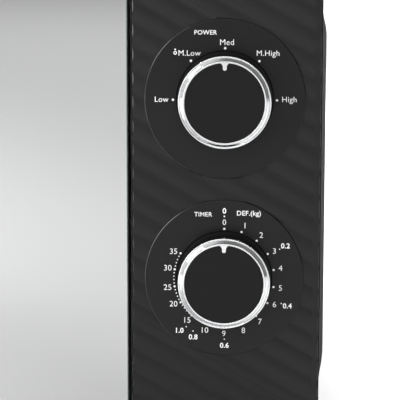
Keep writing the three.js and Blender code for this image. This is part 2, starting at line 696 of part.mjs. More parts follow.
const glassOutline = roundedRect(DOOR.left + 0.3, DOOR.right - 0.3, FRONT_LOW + 0.3, FRONT_HIGH - 0.3, 3);
add(oven, "door_glass", alongY(glassOutline, FACE_Y, FACE_Y + DOOR.glass), mirrorGlass);

const frameOutline = roundedRect(DOOR.left, DOOR.right, FRONT_LOW, FRONT_HIGH, 3);
frameOutline.holes.push(roundedRect(WINDOW.left, WINDOW.right, WINDOW.low, WINDOW.high, 4, THREE.Path));
const frameHollow = roundedRect(
  DOOR.left + DOOR.wall,
  DOOR.right - DOOR.wall,
  FRONT_LOW + DOOR.wall,
  FRONT_HIGH - DOOR.wall,
  1,
);
const frameBack = REAR_Y - 2.5;
const doorFrame = cut(
  alongY(frameOutline, frameFront, frameBack),
  alongY(frameHollow, frameFront + DOOR.wall, frameBack + 5),
  rodZ(HINGE.x, HINGE.y, HINGE.bore, 0, 300, 16),
  edgeCut,
);
const springSeat = box(PAN.right + GAP, DOOR.right - 1, frameFront + 1, -146, SPRING.high + GAP, SPRING.high + 2);
add(oven, "door_frame", join(doorFrame, springSeat), blackPlastic);

// Steel screen: a pan pressed from perforated sheet, whose folded rim is the choke.
const panFront = frameFront + DOOR.wall + GAP;
const panRear = frameBack - GAP;
const rimOutline = roundedRect(PAN.left, PAN.right, PAN.low, PAN.high, 2);
rimOutline.holes.push(roundedRect(PAN.left + 1, PAN.right - 1, PAN.low + 1, PAN.high - 1, 1, THREE.Path));
const lipOutline = roundedRect(WINDOW.left - 6, WINDOW.right + 6, WINDOW.low - 6, WINDOW.high + 6, 3);
lipOutline.holes.push(roundedRect(WINDOW.left - 5, WINDOW.right + 5, WINDOW.low - 5, WINDOW.high + 5, 2, THREE.Path));
const doorScreen = join(
  alongY(roundedRect(PAN.left, PAN.right, PAN.low, PAN.high, 2), panFront, panFront + SHEET, 3),
  alongY(rimOutline, panFront, panRear, 3),
  alongY(lipOutline, panFront, panRear, 3),
);
add(oven, "door_screen", doorScreen, blackPaint);

const innerPane = roundedRect(WINDOW.left - 4, WINDOW.right + 4, WINDOW.low - 4, WINDOW.high + 4, 2);
add(oven, "door_inner_window", alongY(innerPane, panRear - 2, panRear - 0.5, 3), clearGlass);

// The choke cover closes the back of the door round the window, with two slots for the hook.
const coverOutline = roundedRect(DOOR.left + 1, DOOR.right - 1, FRONT_LOW + 1, FRONT_HIGH - 1, 3);
coverOutline.holes.push(roundedRect(WINDOW.left, WINDOW.right, WINDOW.low, WINDOW.high, 4, THREE.Path));
const chokeCover = cut(
  alongY(coverOutline, frameBack + GAP, REAR_Y),
  ...[SLOT_LOW, SLOT_HIGH].map((z) =>
    box(HOOK.left - 0.6, HOOK.right + 0.6, frameBack - 3, REAR_Y + 3, z, z + SLOT_TALL),
  ),
  edgeCut,
);
add(oven, "choke_cover", chokeCover, blackPlastic);

// Hook plate: one strip inside the door, with two hooked arms that reach through the front plate.
const ARM = { low: 5, high: 17, tip: -115.2 };
function hookArm(z) {
  const outline = polygon([
    [-148, z + ARM.low],
    [ARM.tip - 7, z + ARM.low],
    [ARM.tip - 7, z + 1],
    [ARM.tip - 3, z + 1],
    [ARM.tip, z + 5],
    [ARM.tip, z + ARM.high - 3],
    [ARM.tip - 3, z + ARM.high],
    [-148, z + ARM.high],
  ]);
  return alongX(outline, HOOK.left, HOOK.right);
}
const latchHook = join(
  box(HOOK.left, HOOK.right, -156, -146, SLOT_LOW - 2, 214),
  hookArm(SLOT_LOW),
  hookArm(SLOT_HIGH),
);
add(oven, "latch_hook", latchHook, whitePlastic);

// A coil spring above the hook plate presses it down again.
class Coil extends THREE.Curve {
  getPoint(t) {
    const turn = 2 * Math.PI * SPRING.turns * t;
    const rise = (SPRING.high - SPRING.low - 2 * SPRING.wire) * t;
    return new THREE.Vector3(SPRING.r * Math.cos(turn), SPRING.r * Math.sin(turn), rise);
  }
}
const wire = new THREE.Shape().absarc(0, 0, SPRING.wire, 0, 2 * Math.PI);
const springWire = new THREE.ExtrudeGeometry(wire, { steps: 42, curveSegments: 3, extrudePath: new Coil() });
const hookMiddle = (HOOK.left + HOOK.right) / 2;
add(oven, "latch_spring", springWire, zincSteel, hookMiddle, -151, SPRING.low + SPRING.wire);

// Hinge brackets: a tongue above and below the door with a short pin, on a leg behind the front plate.
function hingeBracket(tongueLow, pinEnd, legEnd) {
  const tongueHigh = tongueLow + 1.3;
  const plateBack = PLATE_Y + SHEET + GAP;
  const pin = [Math.min(tongueLow, pinEnd), Math.max(tongueHigh, pinEnd)];
  const leg = [Math.min(tongueLow, legEnd), Math.max(tongueHigh, legEnd)];
  return join(
    alongZ(roundedRect(-213.5, -202, HINGE.y - 5, PLATE_Y - GAP, 1.5), tongueLow, tongueHigh),
    box(-208.5, -202, PLATE_Y - 2, plateBack + 1.5, tongueLow, tongueHigh),
    rodZ(HINGE.x, HINGE.y, HINGE.pin, pin[0], pin[1], 16),
    box(-208.5, -202, plateBack, plateBack + 1.5, leg[0], leg[1]),
  );
}
add(oven, "lower_hinge", hingeBracket(13.35, FRONT_LOW + 2.4, 34), zincSteel);
add(oven, "upper_hinge", hingeBracket(FRONT_HIGH + 0.4, FRONT_HIGH - 2.4, 240), zincSteel);

export default oven;
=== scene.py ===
import math

import bmesh
import bpy
from mathutils import Matrix, Vector


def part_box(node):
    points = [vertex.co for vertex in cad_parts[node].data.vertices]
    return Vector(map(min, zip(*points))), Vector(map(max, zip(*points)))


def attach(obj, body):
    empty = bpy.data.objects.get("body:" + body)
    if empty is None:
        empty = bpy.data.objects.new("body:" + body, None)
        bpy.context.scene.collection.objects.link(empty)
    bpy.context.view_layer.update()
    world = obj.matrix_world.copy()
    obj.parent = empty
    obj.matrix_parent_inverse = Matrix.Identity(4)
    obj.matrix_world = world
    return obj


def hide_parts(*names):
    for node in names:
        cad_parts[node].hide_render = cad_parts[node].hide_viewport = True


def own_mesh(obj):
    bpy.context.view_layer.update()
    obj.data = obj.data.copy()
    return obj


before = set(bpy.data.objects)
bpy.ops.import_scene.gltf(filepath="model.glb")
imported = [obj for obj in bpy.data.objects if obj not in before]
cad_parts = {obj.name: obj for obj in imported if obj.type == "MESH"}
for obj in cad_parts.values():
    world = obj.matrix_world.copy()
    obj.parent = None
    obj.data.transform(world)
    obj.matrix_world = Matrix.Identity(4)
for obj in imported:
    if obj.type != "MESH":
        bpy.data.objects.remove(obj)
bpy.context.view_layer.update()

# ------------------------------------------------------------------ camera
# A long lens about a metre in front of the right end of the oven, a little higher than its top and
# looking down on the two dials.
MM = 0.001
scene = bpy.context.scene
scene.view_settings.view_transform = "Standard"
power_low, power_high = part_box("power_knob_cap")
timer_low, timer_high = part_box("timer_knob_cap")
DIAL_X = (power_low.x + power_high.x) / 2 / MM
POWER_Z = (power_low.z + power_high.z) / 2 / MM
TIMER_Z = (timer_low.z + timer_high.z) / 2 / MM
FACE_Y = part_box("control_panel")[0].y / MM

lens = bpy.data.cameras.new("studio_camera")
lens.sensor_width = 36
lens.lens = 188.14
camera = bpy.data.objects.new("studio_camera", lens)
scene.collection.objects.link(camera)
scene.camera = camera
EYE_RIGHT = 10.0
EYE_BACK = 1072.7
EYE_UP = 146.07
LEFT_TURN = 1.2156  # degrees
DOWN_TIP = 10.5156
SIDE_LEAN = 0.154
eye = Vector((DIAL_X + EYE_RIGHT, FACE_Y - EYE_BACK, POWER_Z + EYE_UP)) * MM
turn_left = Matrix.Rotation(math.radians(LEFT_TURN), 4, "Z")
tip_down = Matrix.Rotation(math.radians(90 - DOWN_TIP), 4, "X")
lean = Matrix.Rotation(math.radians(SIDE_LEAN), 4, "Z")
camera.matrix_world = Matrix.Translation(eye) @ turn_left @ tip_down @ lean


# ------------------------------------------------------------------ floor and light
# A pale studio floor, four soft boxes and a broad spot that lights the floor on the left. The white
# room is dimmer on its right side and brighter on its far wall.
class Wire:
    """An output of a shader node. Sums and products with it add their Math nodes."""

    def __init__(self, tree, socket=None):
        self.tree = tree
        self.socket = socket

    def node(self, kind, settings=None, sockets=None, output=0):
        made = self.tree.nodes.new("ShaderNode" + kind)
        for name, value in (settings or {}).items():
            if name == "stops":
                ramp = made.color_ramp.elements
                ramp.remove(ramp[1])
                ramp[0].position, ramp[0].color = value[0]
                for place, colour in value[1:]:
                    ramp.new(place).color = colour
            else:
                setattr(made, name, value)
        for name, value in (sockets or {}).items():
            if isinstance(value, Wire):
                self.tree.links.new(value.socket, made.inputs[name])
            else:
                made.inputs[name].default_value = value
        return Wire(self.tree, made.outputs[output])

    def maths(self, operation, *values, clamp=False):
        settings = {"operation": operation, "use_clamp": clamp}
        return self.node("Math", settings, dict(enumerate(values)))

    def __add__(self, other):
        return self.maths("ADD", self, other)

    def __sub__(self, other):
        return self.maths("SUBTRACT", self, other)

    def __rsub__(self, other):
        return self.maths("SUBTRACT", other, self)

    def __mul__(self, other):
        return self.maths("MULTIPLY", self, other)

    def __truediv__(self, other):
        return self.maths("DIVIDE", self, other)

    __radd__ = __add__
    __rmul__ = __mul__

    def step(self, low, high):
        """0 below low, 1 above high and a smooth rise between them."""
        settings = {"interpolation_type": "SMOOTHSTEP"}
        return self.node("MapRange", settings, {0: self, 1: low, 2: high})

    def between(self, low, high):
        """The colour low where this is 0 and high where it is 1."""
        return self.node("Mix", {"data_type": "RGBA"}, {0: self, 6: low, 7: high}, output=2)

    def noise(self, size, detail=2.0, roughness=0.5):
        """Cloudy variation from 0 to 1 at this place, with lumps of that size in millimetres."""
        sockets = {"Vector": self, "Scale": 1 / (size * MM), "Detail": detail, "Roughness": roughness}
        return self.node("TexNoise", sockets=sockets)

    def stretched(self, x=1.0, y=1.0, z=1.0):
        """This place with each axis scaled, so that a pattern runs along one of them."""
        return self.node("Mapping", sockets={"Vector": self, "Scale": (x, y, z)})

    def axis(self, number):
        return self.node("SeparateXYZ", sockets={0: self}, output=number)

    def bump(self, depth, strength=1.0):
        """A surface normal that rises and falls with this height, by that many millimetres."""
        return self.node("Bump", sockets={"Strength": strength, "Distance": depth * MM, "Height": self})


def shade(value, warm=0.0):
    """A grey of that brightness, a little warmer or cooler."""
    return (value * (1 + warm), value, value * (1 - warm), 1)


def start_finish(name, **fixed):
    """A new material with its fixed numbers set: it, its shader's sockets and the place on the piece."""
    made = bpy.data.materials.new(name)
    made.use_nodes = True
    sockets = made.node_tree.nodes["Principled BSDF"].inputs
    for socket, value in fixed.items():
        sockets[socket.replace("_", " ")].default_value = value
    place = Wire(made.node_tree).node("TexCoord", output=3)
    return made, sockets, place


def feed(sockets, **wires):
    for name, wire in wires.items():
        wire.tree.links.new(wire.socket, sockets[name.replace("_", " ")])


FLOOR_HALF = 14  # metres
FLOOR_BACK = 1.6  # the floor ends this far behind the oven's middle
floor_shape = bmesh.new()
bmesh.ops.create_grid(floor_shape, x_segments=4, y_segments=4, size=FLOOR_HALF)
bmesh.ops.translate(floor_shape, vec=(0, FLOOR_BACK - FLOOR_HALF, 0), verts=floor_shape.verts)
floor_mesh = bpy.data.meshes.new("studio_floor")
floor_shape.to_mesh(floor_mesh)
floor_shape.free()
floor = bpy.data.objects.new("studio_floor", floor_mesh)
scene.collection.objects.link(floor)
paper, paper_sockets, paper_place = start_finish("studio_paper", Specular_IOR_Level=0.15)
fibre = paper_place.noise(1.6, detail=3)
feed(
    paper_sockets,
    Base_Color=paper_place.noise(900).between(shade(0.84), shade(0.88)),
    Roughness=0.75 + fibre * 0.15,
    Normal=fibre.bump(0.03),
)
floor_mesh.materials.append(paper)

room = bpy.data.worlds.new("studio_room")
scene.world = room
room.use_nodes = True
toward = Wire(room.node_tree).node("TexCoord", output=0)
right_side = toward.axis(0).step(-0.4, 0.05)
backdrop = room.node_tree.nodes["Background"].inputs
backdrop["Color"].default_value = (1, 1, 1, 1)
far_wall = toward.axis(1).step(0.86, 0.94)
feed(backdrop, Strength=0.8 - right_side * 0.58 + far_wall * 1.1)


def soft_light(name, place, aim, wide, tall, watts):
    """A broad rectangular source that faces the point aim."""
    lamp = bpy.data.lights.new(name, "AREA")
    lamp.shape = "RECTANGLE"
    lamp.size = wide
    lamp.size_y = tall
    lamp.energy = watts
    stand = bpy.data.objects.new(name, lamp)
    scene.collection.objects.link(stand)
    stand.location = place
    stand.rotation_euler = (Vector(aim) - Vector(place)).to_track_quat("-Z", "Y").to_euler()


soft_light("left_light", (-3.0, -1.6, 2.6), (0.0, 0.0, 0.1), 2.6, 2.6, 20)
soft_light("front_softbox", (0.3, -2.5, 1.8), (0.16, 0.0, 0.15), 2.8, 1.4, 36)
soft_light("strip_light", (-0.75, -0.75, 0.47), (0.12, -0.16, 0.25), 0.35, 0.9, 4.5)
soft_light("back_light", (0.7, 1.6, 1.1), (0.45, 0.5, 0.0), 1.4, 0.9, 70)

floor_spot = bpy.data.lights.new("floor_spot", "SPOT")
floor_spot.energy = 1080
floor_spot.spot_size = math.radians(75.5)
floor_spot.spot_blend = 0.15
floor_spot.shadow_soft_size = 0.3
spot_stand = bpy.data.objects.new("floor_spot", floor_spot)
scene.collection.objects.link(spot_stand)
spot_stand.location = (-2.92, -0.011, 4.0)


# ------------------------------------------------------------------ chassis pan
# A shallow pan of zinc-coated steel, pressed and folded up at its sides. The case is screwed to
# its rims, and the slots in its floor let cool air rise round the transformer.
def block(low, high, corner=0.0, edge=0.0, along=1, segments=5):
    """A solid block, with its edges along one axis rounded to corner and its other edges to edge."""
    shape = bmesh.new()
    size = Vector(high) - Vector(low)
    bmesh.ops.create_cube(shape, size=1)
    bmesh.ops.scale(shape, vec=size, verts=shape.verts)
    bmesh.ops.translate(shape, vec=Vector(low) + size / 2, verts=shape.verts)
    if corner:
        posts = [e for e in shape.edges if abs((e.verts[0].co - e.verts[1].co)[along]) > size[along] / 2]
        soften(shape, posts, corner, segments)
    if edge:
        soften(shape, sharp_edges(shape), edge, 3)
    return shape


def sharp_edges(shape, angle=60):
    """The convex and concave edges of a shape whose faces meet at more than that angle."""
    return [e for e in shape.edges if len(e.link_faces) == 2 and e.calc_face_angle() > math.radians(angle)]


def soften(shape, edges, radius, segments=3):
    bmesh.ops.bevel(
        shape,
        geom=edges,
        offset=radius,
        offset_type="OFFSET",
        segments=segments,
        profile=0.5,
        affect="EDGES",
        material=-1,
        clamp_overlap=True,
    )


def round_corners(shape, corners, radius, segments=5):
    """Rounds the corners of an outline that is still bare wire."""
    bmesh.ops.bevel(
        shape,
        geom=corners,
        offset=radius,
        offset_type="OFFSET",
        segments=segments,
        profile=0.5,
        affect="VERTICES",
        material=-1,
    )


def cut_sheet(along, start, end, outline, holes=(), round_holes=(), sides=16):
    """A flat piece from start to end along an axis. The outline and the holes are (u0, u1, v0, v1, corner)
    on the two other axes, and a round hole is (u, v, radius)."""
    across = [axis for axis in range(3) if axis != along]

    def spot(u, v):
        point = Vector((0, 0, 0))
        point[along] = start
        point[across[0]] = u
        point[across[1]] = v
        return point

    shape = bmesh.new()
    for u0, u1, v0, v1, corner in (outline, *holes):
        corners = [shape.verts.new(spot(u, v)) for u, v in ((u0, v0), (u1, v0), (u1, v1), (u0, v1))]
        for i in range(4):
            shape.edges.new((corners[i - 1], corners[i]))
        if corner:
            round_corners(shape, corners, corner)
    quarter = math.radians(90)
    turns = (Matrix.Rotation(quarter, 4, "Y"), Matrix.Rotation(quarter, 4, "X"), Matrix())
    for u, v, radius in round_holes:
        place = Matrix.Translation(spot(u, v)) @ turns[along]
        bmesh.ops.create_circle(shape, segments=sides, radius=radius, matrix=place)
    bmesh.ops.triangle_fill(shape, use_beauty=True, edges=shape.edges)
    thicken(shape, along, end - start)
    return shape


def thicken(shape, along, depth):
    """Extrudes a flat face into a solid."""
    raised = bmesh.ops.extrude_face_region(shape, geom=shape.faces[:])["geom"]
    move = Vector((0, 0, 0))
    move[along] = depth
    bmesh.ops.translate(shape, vec=move, verts=[v for v in raised if isinstance(v, bmesh.types.BMVert)])
    bmesh.ops.recalc_face_normals(shape, faces=shape.faces)


def gather(*shapes):
    """Several shapes in one mesh. They are welded or clipped together and don't cross."""
    whole = bmesh.new()
    for shape in shapes:
        part = bpy.data.meshes.new("part")
        shape.to_mesh(part)
        shape.free()
        whole.from_mesh(part)
        bpy.data.meshes.remove(part)
    return whole


def carve(shape, tool, operation="DIFFERENCE"):
    """A shape with another one cut out of it or, with UNION, moulded onto it. Both are used up."""
    holders = []
    for part in (shape, tool):
        mesh = bpy.data.meshes.new("carving")
        part.to_mesh(mesh)
        part.free()
        holder = bpy.data.objects.new("carving", mesh)
        scene.collection.objects.link(holder)
        holders.append(holder)
    knife = holders[0].modifiers.new("knife", "BOOLEAN")
    knife.solver = "EXACT"
    knife.operation = operation
    knife.object = holders[1]
    result = bmesh.new()
    result.from_object(holders[0], bpy.context.evaluated_depsgraph_get())
    for holder in holders:
        bpy.data.meshes.remove(holder.data)
    return result


def settle(shape, name, finishes, body, replaces=(), angle=35):
    """Makes the finished piece from a shape in millimetres, and says what it rides on and stands for."""
    bmesh.ops.scale(shape, vec=(MM, MM, MM), verts=shape.verts)
    mesh = bpy.data.meshes.new(name)
    shape.to_mesh(mesh)
    shape.free()
    mesh.shade_smooth()
    mesh.set_sharp_from_angle(angle=math.radians(angle))
    for made in finishes if isinstance(finishes, (list, tuple)) else [finishes]:
        mesh.materials.append(made)
    piece = bpy.data.objects.new(name, mesh)
    scene.collection.objects.link(piece)
    normals = piece.modifiers.new("even_normals", "WEIGHTED_NORMAL")
    normals.keep_sharp = True
    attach(piece, body)
    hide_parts(*([replaces] if isinstance(replaces, str) else replaces))
    return piece


def reach(node):
    """The lowest and highest corners of a CAD node, in millimetres."""
    low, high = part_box(node)
    return low / MM, high / MM


def brightened(edge, share, body, bare):
    """The colour body, with that share of the colour bare along edges."""
    return edge.node("Mix", {"data_type": "RGBA"}, {0: edge * share, 6: body, 7: bare}, output=2)


def sheet_metal(name, dark, light, roughness, streak, metallic=1.0, **fixed):
    """Rolled sheet: faint streaks along its length, clouds of duller metal and brighter cut edges."""
    made, sockets, place = start_finish(name, Metallic=metallic, **fixed)
    streaks = place.stretched(*streak).noise(1.0, detail=4, roughness=0.6)
    clouds = place.noise(38, detail=3)
    edge = place.node("NewGeometry", output=7).step(0.53, 0.6)
    body = (clouds * 0.6 + streaks * 0.4).between(shade(dark, -0.01), shade(light, -0.01))
    feed(
        sockets,
        Base_Color=brightened(edge, 0.5, body, shade(light * 1.2)),
        Roughness=roughness + streaks * 0.14 + clouds * 0.1,
        Normal=(streaks + clouds * 0.5).bump(0.01),
    )
    return made


zinc = sheet_metal("zinc_coated_steel", 0.5, 0.66, 0.26, (0.08, 1.2, 1.2))
pan_low, pan_high = reach("base_plate")
SHEET = 1.0  # thickness of the pan, case and cavity
RIM_HIGH = 10
pan_slots = [(124 + 12 * i, 129 + 12 * i, -62, -22, 2.4) for i in range(6)]
pan_feet = [(x, y, 2.6) for x in (-178, 178) for y in (-112, 146)]
pan_floor = cut_sheet(
    2,
    pan_low.z,
    pan_low.z + SHEET,
    (pan_low.x, pan_high.x, pan_low.y, pan_high.y, 0),
    pan_slots,
    pan_feet,
)
for side in (-1, 1):
    rim = block((0, pan_low.y, pan_low.z), (SHEET, pan_high.y, pan_low.z + RIM_HIGH))
    bmesh.ops.translate(rim, vec=(pan_high.x - SHEET if side > 0 else pan_low.x, 0, 0), verts=rim.verts)
    pan_floor = carve(pan_floor, rim, "UNION")
folds = [
    e
    for e in pan_floor.edges
    if all(abs(abs(v.co.x) - pan_high.x) < 0.01 and abs(v.co.z - pan_low.z) < 0.01 for v in e.verts)
]
soften(pan_floor, folds, 0.9, 3)
settle(pan_floor, "chassis_pan", zinc, "chassis", "base_plate")


# ------------------------------------------------------------------ outer case
# One sheet of steel folded over the top and both sides, with a raised field pressed out of each
# side and rows of cooling slots punched through. Powder coated in fine satin black.
def powder_coat(name, dark, light, roughness, grain=0.45, depth=0.02, level=0.16):
    """Baked powder paint: an even, slightly pebbled film that thins and lightens on folded edges."""
    made, sockets, place = start_finish(name, Specular_IOR_Level=level)
    pebble = place.noise(grain, detail=2)
    clouds = place.noise(55, detail=3)
    edge = place.node("NewGeometry", output=7).step(0.52, 0.62)
    body = clouds.between(shade(dark), shade(light))
    feed(
        sockets,
        Base_Color=brightened(edge, 0.35, body, shade(light * 2)),
        Roughness=roughness + pebble * 0.1 + clouds * 0.06,
        Normal=pebble.bump(depth),
    )
    return made


case_paint = powder_coat("black_case_paint", 0.007, 0.011, 0.6, level=0.05)
wrap_low, wrap_high = reach("cabinet_wrap")
FIELD_OUT = 3.0
FIELD_RAMP = 14.0
field_box = {"y": (-123, 142), "z": (36.5, 237.5)}
case_half = wrap_high.x - FIELD_OUT
wrap = block((-case_half, wrap_low.y, wrap_low.z), (case_half, wrap_high.y, wrap_high.z))
open_sides = [f for f in wrap.faces if abs(f.normal.y) > 0.5 or f.normal.z < -0.5]
bmesh.ops.delete(wrap, geom=open_sides, context="FACES")
top_folds = [e for e in wrap.edges if len(e.link_faces) == 2]
soften(wrap, top_folds, 9, 8)
for level, normal in [(y, (0, 1, 0)) for y in field_box["y"]] + [(z, (0, 0, 1)) for z in field_box["z"]]:
    bmesh.ops.bisect_plane(
        wrap,
        geom=wrap.verts[:] + wrap.edges[:] + wrap.faces[:],
        plane_co=Vector(normal) * level,
        plane_no=normal,
    )
fields = []
for face in wrap.faces:
    middle = face.calc_center_median()
    within_y = field_box["y"][0] < middle.y < field_box["y"][1]
    within_z = field_box["z"][0] < middle.z < field_box["z"][1]
    if within_y and within_z and abs(face.normal.x) > 0.9:
        fields.append(face)
ramps = bmesh.ops.inset_individual(wrap, faces=fields, thickness=FIELD_RAMP, depth=FIELD_OUT)["faces"]
rims = {edge for ramp in ramps for edge in ramp.edges if any(near not in ramps for near in edge.link_faces)}
soften(wrap, list(rims), 6.2, 4)
bmesh.ops.solidify(wrap, geom=wrap.faces[:], thickness=SHEET)


def side_slots(x, y, heights, count):
    """Rows of upright cooling slots through one side of the case, starting at x and y."""
    slots = []
    for i in range(count):
        for z in heights:
            slots.append(block((x, y + 12 * i, z), (x + 9, y + 5 + 12 * i, z + 26), 2.4, along=0))
    return slots


wrap = carve(wrap, gather(*side_slots(213, 30, (66, 100), 8), *side_slots(-222, 40, (186,), 7)))
settle(wrap, "case_wrap", case_paint, "chassis", "cabinet_wrap", angle=30)


# ------------------------------------------------------------------ back cover
# A flat cover of zinc-coated sheet with rows of air slots behind the blower and the cavity. It is
# screwed to the pan and the case, and carries two rubber bumpers and the bush of the mains lead.
back_low, back_high = reach("rear_panel")
gland_low, gland_high = reach("cord_gland")
GLAND_X = (gland_low.x + gland_high.x) / 2
GLAND_Z = (gland_low.z + gland_high.z) / 2


def air_slots(x, z, rows):
    """Two columns of long slots, starting at their lower left corner."""
    slots = []
    for left in (x, x + 42):
        for row in range(rows):
            slots.append((left, left + 38, z + 14 * row, z + 6 + 14 * row, 2.8))
    return slots


fan_slots = air_slots(118, 142, 6)
steam_slots = air_slots(-150, 200, 3)
back_cover = cut_sheet(
    1,
    back_low.y,
    back_high.y,
    (back_low.x, back_high.x, back_low.z, back_high.z, 8),
    fan_slots + steam_slots,
    [(GLAND_X, GLAND_Z, 9.3)],
    sides=28,
)
settle(back_cover, "back_cover", zinc, "chassis", "rear_panel", 30)


# ------------------------------------------------------------------ screws
# Pan-head steel screws with a cross recess hold the back cover, the case and the pan together. Each
# is a turned head with two crossed cuts, and its shank is hidden in the sheet.
def turned_to(toward):
    """The turn that takes the Z axis to the one named."""
    turns = {
        "Z": (0, "X"),
        "Y": (-math.pi / 2, "X"),
        "-Y": (math.pi / 2, "X"),
        "X": (math.pi / 2, "Y"),
        "-X": (-math.pi / 2, "Y"),
    }
    angle, axis = turns[toward]
    return Matrix.Rotation(angle, 3, axis)


def turned(profile, centre, toward="Z", steps=48):
    """A piece turned about an axis through centre, from (radius, height) or (radius, height, rounding)."""
    shape = bmesh.new()
    points = [shape.verts.new((p[0], 0, p[1])) for p in profile]
    closed = profile[0][0] > 1e-6 or profile[-1][0] > 1e-6
    for i in range(0 if closed else 1, len(points)):
        shape.edges.new((points[i - 1], points[i]))
    for point, row in zip(points, profile):
        if len(row) > 2:
            round_corners(shape, [point], row[2], 4)
    bmesh.ops.spin(
        shape,
        geom=shape.verts[:] + shape.edges[:],
        cent=(0, 0, 0),
        axis=(0, 0, 1),
        angle=math.tau,
        steps=steps,
        use_merge=True,
        use_duplicate=False,
    )
    bmesh.ops.remove_doubles(shape, verts=shape.verts, dist=1e-4)
    bmesh.ops.rotate(shape, cent=(0, 0, 0), matrix=turned_to(toward), verts=shape.verts)
    bmesh.ops.translate(shape, vec=centre, verts=shape.verts)
    bmesh.ops.recalc_face_normals(shape, faces=shape.faces)
    return shape


def screw(centre, toward):
    """A domed head with a cross cut in it."""
    radius = 3.5
    head = turned(
        [(0, 0), (radius, 0), (radius, 0.5, 0.3), (radius * 0.72, 1.7), (radius * 0.3, 2.05), (0, 2.1)],
        (0, 0, 0),
        "Z",
        steps=24,
    )
    long = radius * 0.55
    wide = 0.42
    head = carve(head, block((-long, -wide, 1.0), (long, wide, 3)))
    head = carve(head, block((-wide, -long, 1.0), (wide, long, 3)))
    bmesh.ops.rotate(head, cent=(0, 0, 0), matrix=turned_to(toward), verts=head.verts)
    bmesh.ops.translate(head, vec=centre, verts=head.verts)
    return head


screw_steel = sheet_metal("screw_steel", 0.4, 0.6, 0.24, (1.0, 1.0, 1.0))
back_screws = [(x, back_high.y, z) for x in (-205, 205) for z in (24, 135, 250)]
back_screws += [(x, back_high.y, 252) for x in (-80, 80)] + [(x, back_high.y, 20) for x in (-80, 80)]
back_screws += [(x, back_high.y, z) for x in (108, 208) for z in (132, 232)]
back_heads = [screw(place, "Y") for place in back_screws]
settle(gather(*back_heads), "back_screws", screw_steel, "chassis")
side_screws = [screw((case_half, y, 19), "X") for y in (-120, 20, 160)]
side_screws += [screw((-case_half, y, 19), "-X") for y in (-120, 20, 160)]
settle(gather(*side_screws), "side_screws", screw_steel, "chassis")


# ------------------------------------------------------------------ lead bush
# A black nylon bush snapped into the back cover, where the mains lead comes out. It has a flange
# outside, a neck through the hole and a bore for the lead.
def moulded(name, dark, light, roughness, grain, depth, level=0.4, patch=45, spread=0.06):
    """Moulded plastic: a fine eroded texture, faint flow clouds and a small drift in its gloss."""
    made, sockets, place = start_finish(name, Specular_IOR_Level=level)
    texture = place.noise(grain, detail=2)
    clouds = place.noise(patch, detail=3)
    feed(
        sockets,
        Base_Color=(clouds * 0.7 + texture * 0.3).between(shade(dark), shade(light)),
        Roughness=roughness + texture * spread + clouds * spread,
        Normal=texture.bump(depth),
    )
    return made


black_nylon = moulded("black_nylon", 0.012, 0.018, 0.42, 0.6, 0.015, level=0.45)
bush = turned(
    [(4, -7, 0.8), (4, 4, 1.2), (12, 4, 1.4), (12, 0.3, 0.4), (9, 0.3), (9, -7, 0.6)],
    (GLAND_X, back_high.y, GLAND_Z),
    "Y",
    steps=40,
)
settle(bush, "lead_bush", black_nylon, "chassis", "cord_gland")


# ------------------------------------------------------------------ rubber feet and bumpers
# Four round feet and two rear bumpers, moulded in black rubber and fixed to the sheet. Each foot has
# a shallow hollow in its underside.
def moulded_rubber(name):
    made, sockets, place = start_finish(name, Specular_IOR_Level=0.3)
    bloom = place.noise(9, detail=4)
    pores = place.noise(0.5, detail=2)
    scuff = place.noise(3.5, detail=5, roughness=0.7).step(0.6, 0.75)
    feed(
        sockets,
        Base_Color=(bloom * 0.6 + scuff * 0.4).between(shade(0.012), shade(0.035)),
        Roughness=0.68 + bloom * 0.16,
        Normal=(pores + scuff * 0.6).bump(0.03),
    )
    return made


black_rubber = moulded_rubber("black_rubber")
for node in ("foot_front_left", "foot_front_right", "foot_back_left", "foot_back_right"):
    low, high = reach(node)
    radius = (high.x - low.x) / 2
    foot = turned(
        [
            (0, 1.6),
            (3.2, 1.6, 0.5),
            (4.2, 0, 0.5),
            (radius - 1.6, 0, 0.8),
            (radius, 1.8, 0.8),
            (radius - 0.7, 9.0, 0.6),
            (radius - 0.7, high.z, 0.4),
            (0, high.z),
        ],
        ((low.x + high.x) / 2, (low.y + high.y) / 2, 0),
        "Z",
        steps=48,
    )
    settle(foot, "rubber_" + node, black_rubber, "chassis", node)
for side in ("left", "right"):
    low, high = reach("rear_bumper_" + side)
    bumper = turned(
        [(0, 0), (7, 0, 0.4), (6.6, 1.6, 0.6), (5.4, high.y - low.y, 1.6), (0, high.y - low.y)],
        ((low.x + high.x) / 2, low.y, (low.z + high.z) / 2),
        "Y",
        steps=40,
    )
    settle(bumper, "rubber_bumper_" + side, black_rubber, "chassis", "rear_bumper_" + side)


# ------------------------------------------------------------------ front plate and cavity
# The steel front plate and the five-sided box of the cavity are welded together and coated in one
# light grey enamel. Rows of small holes let lamp light in on the right and steam out on the left.
def enamelled(name, dark, light):
    """Baked enamel on sheet steel: soft gloss, faint orange peel and thin speckle."""
    made, sockets, place = start_finish(name, Specular_IOR_Level=0.5)
    peel = place.noise(1.4, detail=2)
    clouds = place.noise(60, detail=3)
    speck = place.noise(0.7, detail=1).step(0.7, 0.78)
    feed(
        sockets,
        Base_Color=(clouds * 0.8 + speck * 0.2).between(shade(light, 0.012), shade(dark, 0.016)),
        Roughness=0.3 + peel * 0.12 + clouds * 0.1,
        Normal=peel.bump(0.03),
    )
    return made


